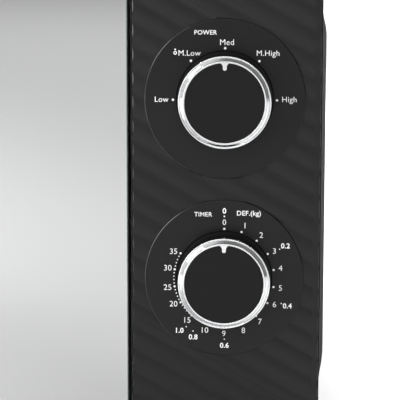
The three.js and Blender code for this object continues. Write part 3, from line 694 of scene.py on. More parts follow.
enamel = enamelled("grey_enamel", 0.42, 0.5)
plate_low, plate_high = reach("front_plate")
cavity_low, cavity_high = reach("cavity_shell")
MOUTH = (cavity_low.x + SHEET, cavity_high.x - SHEET, cavity_low.z + SHEET, cavity_high.z - SHEET)
HOOK_SLOTS = ((67, 89), (191, 213))
front = cut_sheet(
    1,
    plate_low.y,
    plate_high.y,
    (plate_low.x, plate_high.x, plate_low.z, plate_high.z, 4),
    [(*MOUTH, 10), (123.5, 208, 19, 250, 3)] + [(107.1, 112.4, low, high, 1.2) for low, high in HOOK_SLOTS],
)
settle(front, "enamelled_front", enamel, "chassis", "front_plate", 30)

liner = block(cavity_low, cavity_high, 11, segments=8)
bmesh.ops.delete(liner, geom=[f for f in liner.faces if f.normal.y < -0.5], context="FACES")
back_rim = [
    e for e in liner.edges if len(e.link_faces) == 2 and all(v.co.y > cavity_high.y - 0.01 for v in e.verts)
]
soften(liner, back_rim, 4, 4)
bmesh.ops.solidify(liner, geom=liner.faces[:], thickness=SHEET)


def holes_through(x, y, z, radius=2.4):
    """Four by two round holes in a side wall."""
    profile = [(0, -3), (radius, -3), (radius, 3), (0, 3)]
    return [turned(profile, (x, y + 8 * (i % 4), z + 8 * (i // 4)), "X", steps=14) for i in range(8)]


punches = holes_through(MOUTH[1], -87, 212) + holes_through(MOUTH[0], 100, 197)
punches.append(block((MOUTH[1] - 3, -36, 178), (MOUTH[1] + 3, 14, 222), 3, along=0))
table_low, table_high = reach("glass_turntable")
TABLE_X = (table_low.x + table_high.x) / 2
TABLE_Y = (table_low.y + table_high.y) / 2
punches.append(turned([(0, 30), (6.5, 30), (6.5, 42), (0, 42)], (TABLE_X, TABLE_Y, 0), "Z", steps=32))
liner = carve(liner, gather(*punches))
settle(liner, "cavity_liner", enamel, "chassis", "cavity_shell", 30)


# ------------------------------------------------------------------ mica window
# A sheet of pressed mica clipped over the feed port inside the cavity. It lets the microwaves in
# and keeps steam and grease out of the wave guide.
mica, mica_sockets, mica_place = start_finish("pressed_mica", Specular_IOR_Level=0.4)
flakes = mica_place.noise(5, detail=5, roughness=0.7)
glints = mica_place.noise(1.2, detail=2)
feed(
    mica_sockets,
    Base_Color=flakes.node(
        "ValToRGB",
        {"stops": [(0.3, (0.3, 0.21, 0.12, 1)), (0.5, (0.46, 0.37, 0.25, 1)), (0.72, (0.6, 0.52, 0.4, 1))]},
        {0: flakes},
    ),
    Roughness=0.28 + glints * 0.3,
    Normal=(flakes + glints * 0.4).bump(0.05),
)
low, high = reach("waveguide_cover")
sheet_of_mica = block(low, high, 4, 0.12, along=0)
settle(sheet_of_mica, "mica_window", mica, "chassis", "waveguide_cover")


# ------------------------------------------------------------------ turntable drive
# A small geared motor under the cavity floor turns a three-armed coupler of white nylon, which
# stands through a hole in the floor and drives the glass plate from below.
def dress(finish, *nodes):
    """Gives a CAD node that stays as it is its finish."""
    for node in nodes:
        made_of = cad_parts[node].data.materials
        made_of.clear()
        made_of.append(finish)


white_nylon = moulded("white_nylon", 0.6, 0.72, 0.38, 0.9, 0.02, level=0.5, patch=14)
dress(zinc, "turntable_motor")
low, high = reach("turntable_coupler")


def put_round(shape, heading, height=0):
    """Turns a shape to that heading round the turntable's axis and stands it there."""
    bmesh.ops.rotate(shape, cent=(0, 0, 0), matrix=Matrix.Rotation(heading, 3, "Z"), verts=shape.verts)
    bmesh.ops.translate(shape, vec=(TABLE_X, TABLE_Y, height), verts=shape.verts)
    return shape


coupler = turned(
    [
        (0, low.z),
        (5.2, low.z, 0.8),
        (5.2, low.z + 3, 0.3),
        (11, low.z + 3.5, 0.8),
        (11, 49, 2),
        (8, high.z),
        (0, high.z),
    ],
    (TABLE_X, TABLE_Y, 0),
    "Z",
    steps=40,
)
for third in range(3):
    arm = block((4, -3.5, 44), (23, 3.5, 51.6), 1.2, 0.5, along=2)
    coupler = carve(coupler, put_round(arm, math.tau * third / 3), "UNION")
settle(coupler, "drive_coupler", white_nylon, "turntable_drive", "turntable_coupler")


# ------------------------------------------------------------------ roller ring
# A white nylon ring with three axles. A wheel clips on each, rolls on the cavity floor and carries
# the glass plate.
ring_band = turned(
    [
        (84, 41, 0.8),
        (91, 41, 0.8),
        (91, 49, 0.8),
        (89.2, 49, 0.4),
        (89.2, 43.5, 0.5),
        (85.8, 43.5, 0.5),
        (85.8, 49, 0.4),
        (84, 49, 0.8),
    ],
    (TABLE_X, TABLE_Y, 0),
    "Z",
    steps=96,
)
wheel_low, wheel_high = reach("roller_1")
WHEEL_Z = (wheel_low.z + wheel_high.z) / 2
for third in range(3):
    heading = math.tau * third / 3 + math.pi / 2
    axle = turned([(0, 88), (2, 88), (2, 106.4, 0.4), (1.4, 107), (0, 107)], (0, 0, 0), "X", steps=20)
    tread = [(2.4, 97), (6.2, 97, 0.8), (7, 98, 0.6), (7, 104, 0.6), (6.2, 105, 0.8), (2.4, 105)]
    wheel = turned(tread, (0, 0, 0), "X", steps=40)
    put_round(axle, heading, WHEEL_Z)
    put_round(wheel, heading, WHEEL_Z)
    ring_band = carve(ring_band, axle, "UNION")
    roller = "roller_" + str(third + 1)
    settle(wheel, "nylon_wheel_" + str(third + 1), white_nylon, roller, roller)
settle(ring_band, "nylon_ring", white_nylon, "roller_ring", "roller_ring")


# ------------------------------------------------------------------ glass plate
# A heavy plate of pressed tempered glass with a raised rim. Three pressed lugs under its middle
# sit between the arms of the coupler.
def clear_glass(name, tint, wear, depth):
    """Pressed glass: a slight tint, faint waves and a haze of fine scratches."""
    made, sockets, place = start_finish(name, Transmission_Weight=1.0, IOR=1.5)
    waves = place.noise(30, detail=2)
    scratches = place.noise(1.2, detail=4, roughness=0.7).step(0.58, 0.75)
    feed(
        sockets,
        Base_Color=waves.between(shade(0.95), tint),
        Roughness=wear + scratches * 0.12 + waves * 0.02,
        Normal=waves.bump(depth),
    )
    return made


plate_glass = clear_glass("pressed_plate_glass", (0.86, 0.93, 0.91, 1), 0.02, 0.3)
PLATE_R_OUT = (table_high.x - table_low.x) / 2
plate_under = MOUTH[2] + 14.6  # the wheels carry it this high above the cavity floor
glass_plate = turned(
    [
        (0, plate_under),
        (112, plate_under, 4),
        (124.5, plate_under + 7.5, 2),
        (PLATE_R_OUT, plate_under + 10, 0.8),
        (126.3, plate_under + 11.5, 0.8),
        (123, plate_under + 10.5, 1.5),
        (109.5, plate_under + 4, 4),
        (0, plate_under + 4),
    ],
    (TABLE_X, TABLE_Y, 0),
    "Z",
    steps=128,
)
for third in range(3):
    lug = block((13, -3, 46.5), (22, 3, plate_under + 1), 1.2, along=2)
    glass_plate = carve(glass_plate, put_round(lug, math.tau * third / 3 + math.pi / 3), "UNION")
settle(glass_plate, "pressed_glass_plate", plate_glass, "tray", "glass_turntable")


# ------------------------------------------------------------------ microwave source
# The magnetron's finned aluminium anode sits in a steel yoke on the wave guide, with its filter
# box behind. All are pressed from zinc-coated or plain sheet.
aluminium = sheet_metal("aluminium_fins", 0.62, 0.74, 0.3, (1.2, 0.1, 1.2))
dress(zinc, "waveguide_duct", "magnetron_yoke", "magnetron_filter_box")
dress(aluminium, "magnetron_anode", "magnetron_antenna")


# ------------------------------------------------------------------ high-voltage supply
# A laminated steel core with two varnished copper coils stands on the pan beside a sealed
# capacitor can. The mains filter is on a small board above.
laminations = sheet_metal("laminated_core", 0.1, 0.22, 0.45, (0.6, 3.0, 0.6), metallic=0.8)
copper, copper_sockets, copper_place = start_finish("varnished_copper", Metallic=0.9, Coat_Weight=0.4)
turns_of_wire = copper_place.stretched(0.15, 0.15, 2.4).noise(2.2, detail=2)
varnish = copper_place.noise(12, detail=3)
feed(
    copper_sockets,
    Base_Color=(turns_of_wire * 0.6 + varnish * 0.4).between((0.36, 0.13, 0.05, 1), (0.62, 0.27, 0.11, 1)),
    Roughness=0.28 + varnish * 0.15,
    Normal=turns_of_wire.bump(0.4),
)
board, board_sockets, board_place = start_finish("circuit_board_resin", Specular_IOR_Level=0.4)
weave = board_place.stretched(1, 1, 3).noise(1.4, detail=2)
tracks = board_place.noise(7, detail=1).step(0.5, 0.54)
feed(
    board_sockets,
    Base_Color=(weave * 0.4 + tracks * 0.5).between((0.12, 0.07, 0.02, 1), (0.3, 0.22, 0.08, 1)),
    Roughness=0.4 + weave * 0.2,
    Normal=(weave + tracks).bump(0.04),
)
dress(laminations, "transformer_core")
dress(copper, "transformer_primary_coil", "transformer_secondary_coil")
dress(aluminium, "hv_capacitor")
dress(board, "filter_board")


# ------------------------------------------------------------------ blower
# A shaded-pole motor turns a white nylon fan in a black shroud behind the back cover. A black duct
# leads its air over the magnetron.
dress(black_nylon, "fan_shroud", "air_guide")
dress(laminations, "fan_motor")
dress(white_nylon, "fan_blade")


# ------------------------------------------------------------------ cavity lamp
# A small frosted bulb in a white ceramic-filled holder shines through the holes of the side wall.
lamp_glass, lamp_sockets, lamp_place = start_finish("frosted_lamp_glass", Transmission_Weight=0.7, IOR=1.45)
frost = lamp_place.noise(0.8, detail=3)
feed(
    lamp_sockets,
    Base_Color=frost.between(shade(0.8), shade(0.92)),
    Roughness=0.3 + frost * 0.3,
    Normal=frost.bump(0.02),
)
dress(lamp_glass, "cavity_lamp")
dress(white_nylon, "lamp_holder")


# ------------------------------------------------------------------ latch bracket, switches and slider
# A white bracket behind the front plate holds three black microswitches beside the hook slots. The
# slider lifts the hook plate when the door button's wedge passes under its shoe.
dress(white_nylon, "latch_bracket", "release_slider")
switch_resin = moulded("switch_resin", 0.02, 0.035, 0.4, 0.7, 0.02)
dress(switch_resin, "lower_microswitch", "monitor_microswitch", "upper_microswitch")


# ------------------------------------------------------------------ control panel
# One black moulding behind the two dials, open at the back. Its face is a run of shallow rounded
# ribs that fall to the right, and two smooth round plates stand on it, each with a shallow well.
def pare(shape, point, normal):
    """Slices a solid with a plane, drops what is beyond it and closes the cut."""
    geometry = shape.verts[:] + shape.edges[:] + shape.faces[:]
    sliced = bmesh.ops.bisect_plane(
        shape, geom=geometry, dist=1e-5, plane_co=point, plane_no=normal, clear_outer=True
    )
    if sliced["geom_cut"]:
        bmesh.ops.holes_fill(shape, edges=[e for e in shape.edges if e.is_boundary])


panel_plastic = moulded("ribbed_panel_plastic", 0.007, 0.01, 0.34, 0.5, 0.012, level=0.27)
plate_plastic = moulded("dial_plate_plastic", 0.006, 0.0085, 0.26, 0.35, 0.006, level=0.24)
edge_plastic = moulded("worn_smooth_edge_plastic", 0.006, 0.009, 0.1, 0.5, 0.004, level=0.5, spread=0.03)
PANEL_FINISHES = [panel_plastic, plate_plastic, edge_plastic]
panel_low, panel_high = reach("control_panel")
PANEL_WALL = 2.5
RIB_CREST = FACE_Y + 0.62  # the ribs lie a little behind the dial plates
RIB_DEEP = 0.8
RIB_PITCH = 10.84
RIB_SLOPE = 0.5758  # the ribs fall by this much for each millimetre to the right
RIB_SLANT = math.degrees(math.atan(RIB_SLOPE))
RIB_SHIFT = 1.9 * math.cos(math.atan(RIB_SLOPE))  # a valley passes this far from the upper dial's centre
PLATE_R = 41.8
WELL_R = 24.8

arc_radius = (RIB_PITCH / 2) ** 2 / (2 * RIB_DEEP) + RIB_DEEP / 2
arc_half = math.asin(RIB_PITCH / 2 / arc_radius)
ribs = bmesh.new()
first = ribs.verts.new((0, 0, 0))
ARC_STEPS = 8
bmesh.ops.spin(
    ribs,
    geom=[first],
    cent=(arc_radius * math.sin(arc_half), arc_radius * math.cos(arc_half), 0),
    axis=(0, 0, 1),
    angle=2 * arc_half,
    steps=ARC_STEPS,
)
RIB_COUNT = 36
for i in range(1, RIB_COUNT):
    one_rib = ribs.verts[: ARC_STEPS + 1] + ribs.edges[:ARC_STEPS]
    copied = bmesh.ops.duplicate(ribs, geom=one_rib)["geom"]
    moved = [v for v in copied if isinstance(v, bmesh.types.BMVert)]
    bmesh.ops.translate(ribs, vec=(i * RIB_PITCH, 0, 0), verts=moved)
bmesh.ops.remove_doubles(ribs, verts=ribs.verts, dist=1e-3)
ends = sorted(ribs.verts, key=lambda v: v.co.x)
PANEL_DEEP = panel_high.y - FACE_Y
far = [ribs.verts.new((end.co.x, PANEL_DEEP + 2, 0)) for end in (ends[0], ends[-1])]
for pair in ((ends[0], far[0]), far, (far[1], ends[-1])):
    ribs.edges.new(pair)
bmesh.ops.contextual_create(ribs, geom=ribs.edges[:])
RIB_LONG = 420
thicken(ribs, 2, RIB_LONG)
across_up = Matrix.Rotation(math.radians(RIB_SLANT - 90), 3, "Y")
bmesh.ops.translate(ribs, vec=(-RIB_COUNT // 2 * RIB_PITCH, 0, -RIB_LONG / 2), verts=ribs.verts)
bmesh.ops.rotate(ribs, cent=(0, 0, 0), matrix=across_up, verts=ribs.verts)
slant = Vector((math.sin(math.radians(RIB_SLANT)), 0, math.cos(math.radians(RIB_SLANT))))
rib_middle = Vector((DIAL_X, RIB_CREST + RIB_DEEP, POWER_Z)) + slant * RIB_SHIFT
bmesh.ops.translate(ribs, vec=rib_middle, verts=ribs.verts)
EDGE = 1.0
CORNER = 2.5
for step in range(20):
    heading = math.radians(step * 18)
    outward = Vector((math.cos(heading), 0, math.sin(heading)))
    corner = Vector((
        panel_high.x - CORNER if outward.x > -0.01 else panel_low.x + CORNER,
        RIB_CREST + EDGE,
        panel_high.z - CORNER if outward.z > -0.01 else panel_low.z + CORNER,
    ))
    middle = corner + outward * (CORNER - EDGE)
    for tilt in (0, 30, 60):
        lean_out = outward * math.cos(math.radians(tilt)) + Vector((0, -math.sin(math.radians(tilt)), 0))
        pare(ribs, middle + lean_out * EDGE, lean_out)
pare(ribs, Vector((0, panel_high.y, 0)), Vector((0, 1, 0)))
border = block(
    (panel_high.x - 3.2, RIB_CREST + 0.15, panel_low.z + 1.5),
    (panel_high.x - 0.7, RIB_CREST + 2, panel_high.z - 1.5),
)
ribs = carve(ribs, border, "UNION")
hollow = block(
    (panel_low.x + PANEL_WALL, RIB_CREST + RIB_DEEP + PANEL_WALL - 0.8, panel_low.z + PANEL_WALL),
    (panel_high.x - PANEL_WALL, panel_high.y + 5, panel_high.z - PANEL_WALL),
    1.0,
)
moulding = carve(ribs, hollow)
for height in (POWER_Z, TIMER_Z):
    plate = turned(
        [
            (0, -2.2),
            (PLATE_R, -2.2),
            (PLATE_R + 0.02, -0.5),
            (PLATE_R - 0.02, -0.28, 0.1),
            (PLATE_R - 0.45, 0, 0.1),
            (WELL_R + 0.6, 0),
            (WELL_R, -0.4, 0.2),
            (0, -0.4),
        ],
        (DIAL_X, FACE_Y, height),
        "-Y",
        steps=96,
    )
    moulding = carve(moulding, plate, "UNION")
bar_low, bar_high = reach("release_bar")
window = block((bar_low.x - 0.6, -170, bar_low.z - 0.4), (bar_high.x + 0.6, -150, bar_high.z + 0.6), 1.8)
moulding = carve(moulding, window)
for face in moulding.faces:
    middle = face.calc_center_median()
    on_plate = any((middle.x - DIAL_X) ** 2 + (middle.z - z) ** 2 < PLATE_R**2 for z in (POWER_Z, TIMER_Z))
    face.material_index = int(on_plate and middle.y < RIB_CREST + 0.1)
    if face.normal.x < -0.25 and -0.95 < face.normal.y < -0.1:
        if middle.x < panel_low.x + 1.2 or face.material_index:
            face.material_index = 2
settle(moulding, "dial_panel", PANEL_FINISHES, "chassis", "control_panel", 24)


# ------------------------------------------------------------------ door button
# A long black push bar below the dials. A stem moulded behind its left end carries the wedge that
# lifts the slider.
bar_plastic = moulded("door_button_plastic", 0.01, 0.014, 0.34, 0.35, 0.01, level=0.3)
pad = block((bar_low.x, bar_low.y, bar_low.z), (bar_high.x, bar_low.y + 9.6, bar_high.z), 1.5, 0, along=1)
front_rim = [e for e in sharp_edges(pad) if all(v.co.y < bar_low.y + 0.01 for v in e.verts)]
soften(pad, front_rim, 0.7, 4)
BUTTON_WALL = 2
button_hollow = block(
    (bar_low.x + BUTTON_WALL, bar_low.y + BUTTON_WALL, bar_low.z + BUTTON_WALL),
    (bar_high.x - BUTTON_WALL, bar_low.y + 12, bar_high.z - BUTTON_WALL),
)
pad = carve(pad, button_hollow)
STEM_X = (126, 131)
STEM_TIP = -118
STEM_LOW = 20.2
STEM_HIGH = 26
stem = block((STEM_X[0], bar_low.y + 1, STEM_LOW), (STEM_X[1], STEM_TIP, STEM_HIGH))
pare(stem, Vector((0, STEM_TIP, STEM_LOW)), Vector((0, 1, 1)))
bar = carve(pad, stem, "UNION")
settle(bar, "door_button", bar_plastic, "release_bar", "release_bar")


# ------------------------------------------------------------------ dial knobs
# Each knob is a hollow black cap, glossy on its side and satin on its face, pushed on a steel shaft.
# A chromed ring with the pointer's tab is pressed over its front edge.
knob_side = moulded("knob_side_plastic", 0.007, 0.009, 0.1, 0.8, 0.002, level=0.5, spread=0.03)
knob_face = moulded("knob_face_plastic", 0.0035, 0.005, 0.36, 0.3, 0.008, level=0.2)
chrome, chrome_sockets, chrome_place = start_finish("chrome_plating", Metallic=1.0)
chrome_haze = chrome_place.noise(3.0, detail=3)
feed(
    chrome_sockets,
    Base_Color=chrome_haze.between(shade(0.7, -0.01), shade(0.8, -0.01)),
    Roughness=0.05 + chrome_haze * 0.07,
    Normal=chrome_place.noise(9, detail=1).bump(0.001),
)
KNOB_R = 23.7
RING_OUT = 24.0
RING_IN = 20.8
RING_FRONT = 15.45


def plate_of(outline, along, start, depth, segments):
    """A flat plate from points on the other two axes. A third number rounds a corner."""
    shape = bmesh.new()
    points = []
    for row in outline:
        spot = list(row[:2])
        spot.insert(along, start)
        points.append(shape.verts.new(spot))
    for i in range(len(points)):
        shape.edges.new((points[i - 1], points[i]))
    for point, row in zip(points, outline):
        if len(row) > 2:
            round_corners(shape, [point], row[2], segments)
    bmesh.ops.contextual_create(shape, geom=shape.edges[:])
    thicken(shape, along, depth)
    return shape


for name, height in (("power", POWER_Z), ("timer", TIMER_Z)):
    knob = name + "_knob"
    centre = (DIAL_X, FACE_Y, height)
    cap = turned(
        [
            (3.35, -0.25),
            (KNOB_R - 1.6, -0.25),
            (KNOB_R, -0.25, 0.4),
            (KNOB_R - 0.25, 12.4),
            (RING_IN - 0.3, 12.4),
            (RING_IN - 0.3, 15.0, 0.25),
            (0, 15.0),
            (0, 10),
            (3.35, 10),
        ],
        centre,
        "-Y",
        steps=96,
    )
    for face in cap.faces:
        face.material_index = int(face.calc_center_median().y < FACE_Y - 14.6)
    settle(cap, name + "_dial_cap", [knob_side, knob_face], knob, knob + "_cap")
    ring = turned(
        [
            (RING_IN - 0.2, 12.6),
            (RING_OUT - 0.4, 12.6),
            (RING_OUT, 13.0, 0.15),
            (RING_OUT, 13.5, 0.25),
            (RING_OUT - 0.25, 13.8, 0.15),
            (RING_OUT - 0.7, 13.8, 0.15),
            (RING_OUT - 0.85, 13.55, 0.08),
            (RING_IN + 0.95, 14.9, 0.1),
            (RING_IN + 0.7, RING_FRONT, 0.2),
            (RING_IN - 0.2, RING_FRONT, 0.25),
        ],
        centre,
        "-Y",
        steps=128,
    )
    outline = [
        (DIAL_X - 3.6, height + 21.0),
        (DIAL_X - 1.05, height + 20.0, 1.4),
        (DIAL_X - 1.05, height + 16.7, 1.0),
        (DIAL_X + 1.05, height + 16.7, 1.0),
        (DIAL_X + 1.05, height + 20.0, 1.4),
        (DIAL_X + 3.6, height + 21.0),
    ]
    tab = plate_of(outline, 1, FACE_Y - 15.02, -0.58, 5)
    front_rim = [e for e in sharp_edges(tab) if all(v.co.y < FACE_Y - 15.5 for v in e.verts)]
    soften(tab, front_rim, 0.18, 2)
    groove = block(
        (DIAL_X - 0.18, FACE_Y - 16, height + 17.0),
        (DIAL_X + 0.18, FACE_Y - 15.2, height + 18.9),
        0.15,
    )
    ring = carve(ring, carve(tab, groove), "UNION")
    settle(ring, name + "_chrome_ring", chrome, knob, knob + "_ring", 30)


# ------------------------------------------------------------------ dial print
# Numbers, words and dots in white ink, pad printed on the two dial plates. A small ring with a dot
# above it is the drop beside the M.Low mark.
ink = moulded("white_print_ink", 0.86, 0.92, 0.5, 0.3, 0.004, level=0.3)
INK_THICK = 0.03


def lettering(words, place, tall, bold=0.0):
    """One word as a thin film of ink with its middle at place on the panel, and capitals that tall."""
    letters = bpy.data.curves.new(words, "FONT")
    letters.body = words
    letters.size = tall / 0.73
    letters.align_x = "CENTER"
    letters.align_y = "CENTER"
    letters.offset = bold
    letters.extrude = INK_THICK / 2
    letters.resolution_u = 3
    letters.space_character = 1.04
    holder = bpy.data.objects.new(words, letters)
    scene.collection.objects.link(holder)
    flat = bpy.data.meshes.new_from_object(holder.evaluated_get(bpy.context.evaluated_depsgraph_get()))
    shape = bmesh.new()
    shape.from_mesh(flat)
    bpy.data.meshes.remove(flat)
    bpy.data.curves.remove(letters)
    bmesh.ops.rotate(shape, cent=(0, 0, 0), matrix=Matrix.Rotation(math.pi / 2, 3, "X"), verts=shape.verts)
    bmesh.ops.translate(shape, vec=(place[0], FACE_Y - INK_THICK / 2, place[1]), verts=shape.verts)
    bmesh.ops.remove_doubles(shape, verts=shape.verts, dist=1e-4)
    return shape


def printed_dot(x, z, across):
    profile = [(0, 0), (across / 2, 0), (across / 2, INK_THICK), (0, INK_THICK)]
    return turned(profile, (x, FACE_Y, z), "-Y", steps=14)


def on_dial(turn, radius):
    """A point at that clock angle, in degrees to the right of the top."""
    return radius * math.sin(math.radians(turn)), radius * math.cos(math.radians(turn))


power_words = [
    ("POWER", -10.2, 34.5, 2.42, 0.03),
    ("Med", 0.9, 29.45, 3.1, 0.0),
    ("M.Low", -18.5, 23.8, 3.0, 0.0),
    ("M.High", 22.1, 23.9, 3.0, 0.0),
    ("Low", -32.9, -0.3, 3.0, 0.0),
    ("High", 33.3, -0.1, 3.0, 0.0),
]
power_print = [lettering(word, (DIAL_X + x, POWER_Z + z), *style) for word, x, z, *style in power_words]
for turn in (-90, -41, 0, 41, 90):
    x, z = on_dial(turn, 26.9)
    power_print.append(printed_dot(DIAL_X + x, POWER_Z + z - 0.4, 1.3))
drop_x = DIAL_X - 25.75
drop_z = POWER_Z + 24.0
ring_profile = [(0.5, 0), (0.95, 0), (0.95, INK_THICK), (0.5, INK_THICK)]
power_print.append(turned(ring_profile, (drop_x, FACE_Y, drop_z), "-Y", steps=20))
power_print.append(printed_dot(drop_x, drop_z + 1.75, 0.9))
settle(gather(*power_print), "power_dial_print", ink, "chassis")

minutes = {"1": 21, "2": 40, "3": 61, "4": 79.5, "5": 100, "6": 118, "7": 141, "8": 160, "9": 180, "10": 200}
minutes.update({"15": 220.5, "20": 242, "25": 260, "30": 280, "35": 298})
timer_print = [
    lettering("TIMER", (DIAL_X - 11.1, TIMER_Z + 34.0), 2.42, 0.03),
    lettering("0", (DIAL_X, TIMER_Z + 35.85), 2.9, 0.1),
    lettering("0", (DIAL_X, TIMER_Z + 29.8), 3.1, 0.0),
    lettering("DEF.(kg)", (DIAL_X + 12.8, TIMER_Z + 34.7), 2.6, 0.05),
    printed_dot(DIAL_X, TIMER_Z + 33.1, 0.9),
]
for number, turn in minutes.items():
    x, z = on_dial(turn, 30.1)
    timer_print.append(lettering(number, (DIAL_X + x, TIMER_Z + z), 3.15))
for step in range(16):
    x, z = on_dial(step * 20, 26.4)
    timer_print.append(printed_dot(DIAL_X + x, TIMER_Z + z, 1.15))
for step in range(20):
    x, z = on_dial(220 + step * 4, 26.4)
    if step % 5:
        timer_print.append(printed_dot(DIAL_X + x, TIMER_Z + z, 0.7))
defrost = [
    ("0.2", 61.5, 61.5, 36.5),
    ("0.4", 114, 114, 36.5),
    ("0.6", 179.5, 179.5, 36.5),
    ("0.8", 209.6, 206.8, 35.9),
    ("1.0", 217, 219.6, 37.0),
]
for number, dot_turn, turn, radius in defrost:
    x, z = on_dial(turn, radius)
    timer_print.append(lettering(number, (DIAL_X + x, TIMER_Z + z), 2.75, 0.09))
    x, z = on_dial(dot_turn, 33.0)
    timer_print.append(printed_dot(DIAL_X + x, TIMER_Z + z, 0.7))
settle(gather(*timer_print), "timer_dial_print", ink, "chassis")


# ------------------------------------------------------------------ timer and power units
# The clockwork timer and the power selector are screwed behind the panel. Their steel shafts
# carry the knobs.
shaft_steel = sheet_metal("shaft_steel", 0.5, 0.64, 0.22, (1.5, 0.1, 1.5))
dress(shaft_steel, "power_shaft", "timer_shaft")
dress(white_nylon, "timer_body", "power_selector_body")


# ------------------------------------------------------------------ door front
# The whole front of the door is one pane of mirror-coated tempered glass with a ground and
# polished edge. It hangs on a moulded black frame.
mirror, mirror_sockets, mirror_place = start_finish("mirror_coated_glass", Metallic=1.0, Coat_Weight=0.3)
mirror_sockets["Coat Roughness"].default_value = 0.02
silver = mirror_place.noise(120, detail=2)
feed(
    mirror_sockets,
    Base_Color=silver.between(shade(0.53, -0.004), shade(0.545, -0.004)),
    Roughness=0.018 + silver * 0.012,
    Normal=mirror_place.noise(90, detail=1).bump(0.002),
)
glass_edge, glass_edge_sockets, glass_edge_place = start_finish("ground_glass_edge", Specular_IOR_Level=0.7)
ground = glass_edge_place.noise(0.8, detail=3)
feed(
    glass_edge_sockets,
    Base_Color=ground.between((0.16, 0.2, 0.19, 1), (0.26, 0.31, 0.3, 1)),
    Roughness=0.16 + ground * 0.2,
    Normal=ground.bump(0.01),
)
glass_low, glass_high = reach("door_glass")
pane = block(glass_low, glass_high, 3.0)
soften(pane, sharp_edges(pane), 0.45, 2)
for face in pane.faces:
    face.material_index = int(abs(face.normal.y) < 0.98)
settle(pane, "mirror_door_glass", [mirror, glass_edge], "door", "door_glass", 50)


# ------------------------------------------------------------------ door frame
# The moulded black frame that carries the glass. Its outer edge shows as a dark rim round the
# pane, and its rear hinge edge is rounded so that it turns clear of the front plate.
frame_plastic = moulded("door_frame_plastic", 0.02, 0.028, 0.34, 0.45, 0.01, level=0.4)
frame_low, frame_high = reach("door_frame")
DOOR_WALL = 2.5
WINDOW = (-176, 74, 58, 222)
door_body = cut_sheet(
    1,
    frame_low.y,
    frame_high.y,
    (frame_low.x, frame_high.x, frame_low.z, frame_high.z, 3),
    [(*WINDOW, 4)],
)
front_edges = [e for e in sharp_edges(door_body) if all(v.co.y < frame_low.y + 0.01 for v in e.verts)]
soften(door_body, front_edges, 0.5, 2)
door_inside = block(
    (frame_low.x + DOOR_WALL, frame_low.y + DOOR_WALL, frame_low.z + DOOR_WALL),
    (frame_high.x - DOOR_WALL, frame_high.y + 5, frame_high.z - DOOR_WALL),
    1.0,
)
door_body = carve(door_body, door_inside)
HINGE_X = frame_low.x + 7.5
HINGE_Y = panel_high.y - 8
PIN_R = 3
BORE_R = PIN_R + 0.4
ABOVE_DOOR = 300
bore_profile = [(0, 0), (BORE_R, 0), (BORE_R, ABOVE_DOOR), (0, ABOVE_DOOR)]
pin_bore = turned(bore_profile, (HINGE_X, HINGE_Y, 0), "Z", 24)
door_body = carve(door_body, pin_bore)
EDGE_R = 5.5
edge_bar = block(
    (frame_low.x - 5, panel_high.y - EDGE_R, 0),
    (frame_low.x + EDGE_R, panel_high.y + 5, ABOVE_DOOR),
)
edge_round = turned(
    [(0, -5), (EDGE_R, -5), (EDGE_R, ABOVE_DOOR + 5), (0, ABOVE_DOOR + 5)],
    (frame_low.x + EDGE_R, panel_high.y - EDGE_R, 0),
    "Z",
    48,
)
edge_cutter = carve(edge_bar, edge_round)
door_body = carve(door_body, edge_cutter.copy())
seat = block((107.3, frame_low.y + 1, 236.3), (114.3, -146, 238), 0, 0.15)  # the hook's spring pushes on it
door_body = carve(door_body, seat, "UNION")
settle(door_body, "door_moulding", frame_plastic, "door", "door_frame")


# ------------------------------------------------------------------ door screen
# A shallow pan pressed from black-enamelled steel sheet, perforated behind the window. Its folded
# rim is the microwave choke.
screen_enamel = powder_coat("black_screen_enamel", 0.01, 0.02, 0.4)
pan_min, pan_max = reach("door_screen")
screen = cut_sheet(
    1,
    pan_min.y,
    pan_min.y + 1,
    (pan_min.x, pan_max.x, pan_min.z, pan_max.z, 2),
    [(*WINDOW, 0)],
)
WIDE = WINDOW[1] - WINDOW[0]
TALL = WINDOW[3] - WINDOW[2]
HOLE_PITCH = 4.0
columns = int(WIDE / HOLE_PITCH)
rows = int(TALL / HOLE_PITCH)
mesh_area = bmesh.new()
bmesh.ops.create_grid(mesh_area, x_segments=columns, y_segments=rows, size=0.5)
bmesh.ops.scale(mesh_area, vec=(WIDE, TALL, 1), verts=mesh_area.verts)
squares = mesh_area.faces[:]
bmesh.ops.inset_individual(mesh_area, faces=squares, thickness=0.75, use_even_offset=True)
bmesh.ops.delete(mesh_area, geom=squares, context="FACES")
bmesh.ops.solidify(mesh_area, geom=mesh_area.faces[:], thickness=1.0)
upright = Matrix.Rotation(math.radians(90), 3, "X")
bmesh.ops.rotate(mesh_area, cent=(0, 0, 0), matrix=upright, verts=mesh_area.verts)
mesh_front = min(v.co.y for v in mesh_area.verts)
centre = ((WINDOW[0] + WINDOW[1]) / 2, pan_min.y - mesh_front, (WINDOW[2] + WINDOW[3]) / 2)
bmesh.ops.translate(mesh_area, vec=centre, verts=mesh_area.verts)
LIP = 5
walls = [
    cut_sheet(
        1, pan_min.y + 1, pan_max.y, (pan_min.x, pan_max.x, pan_min.z, pan_max.z, 2),
        [(pan_min.x + 1, pan_max.x - 1, pan_min.z + 1, pan_max.z - 1, 1)],
    ),
    cut_sheet(
        1, pan_min.y + 1, pan_max.y,
        (WINDOW[0] - LIP - 1, WINDOW[1] + LIP + 1, WINDOW[2] - LIP - 1, WINDOW[3] + LIP + 1, 3),
        [(WINDOW[0] - LIP, WINDOW[1] + LIP, WINDOW[2] - LIP, WINDOW[3] + LIP, 2)],
    ),
]
screen = gather(screen, mesh_area, *walls)
settle(screen, "perforated_screen", screen_enamel, "door", "door_screen")


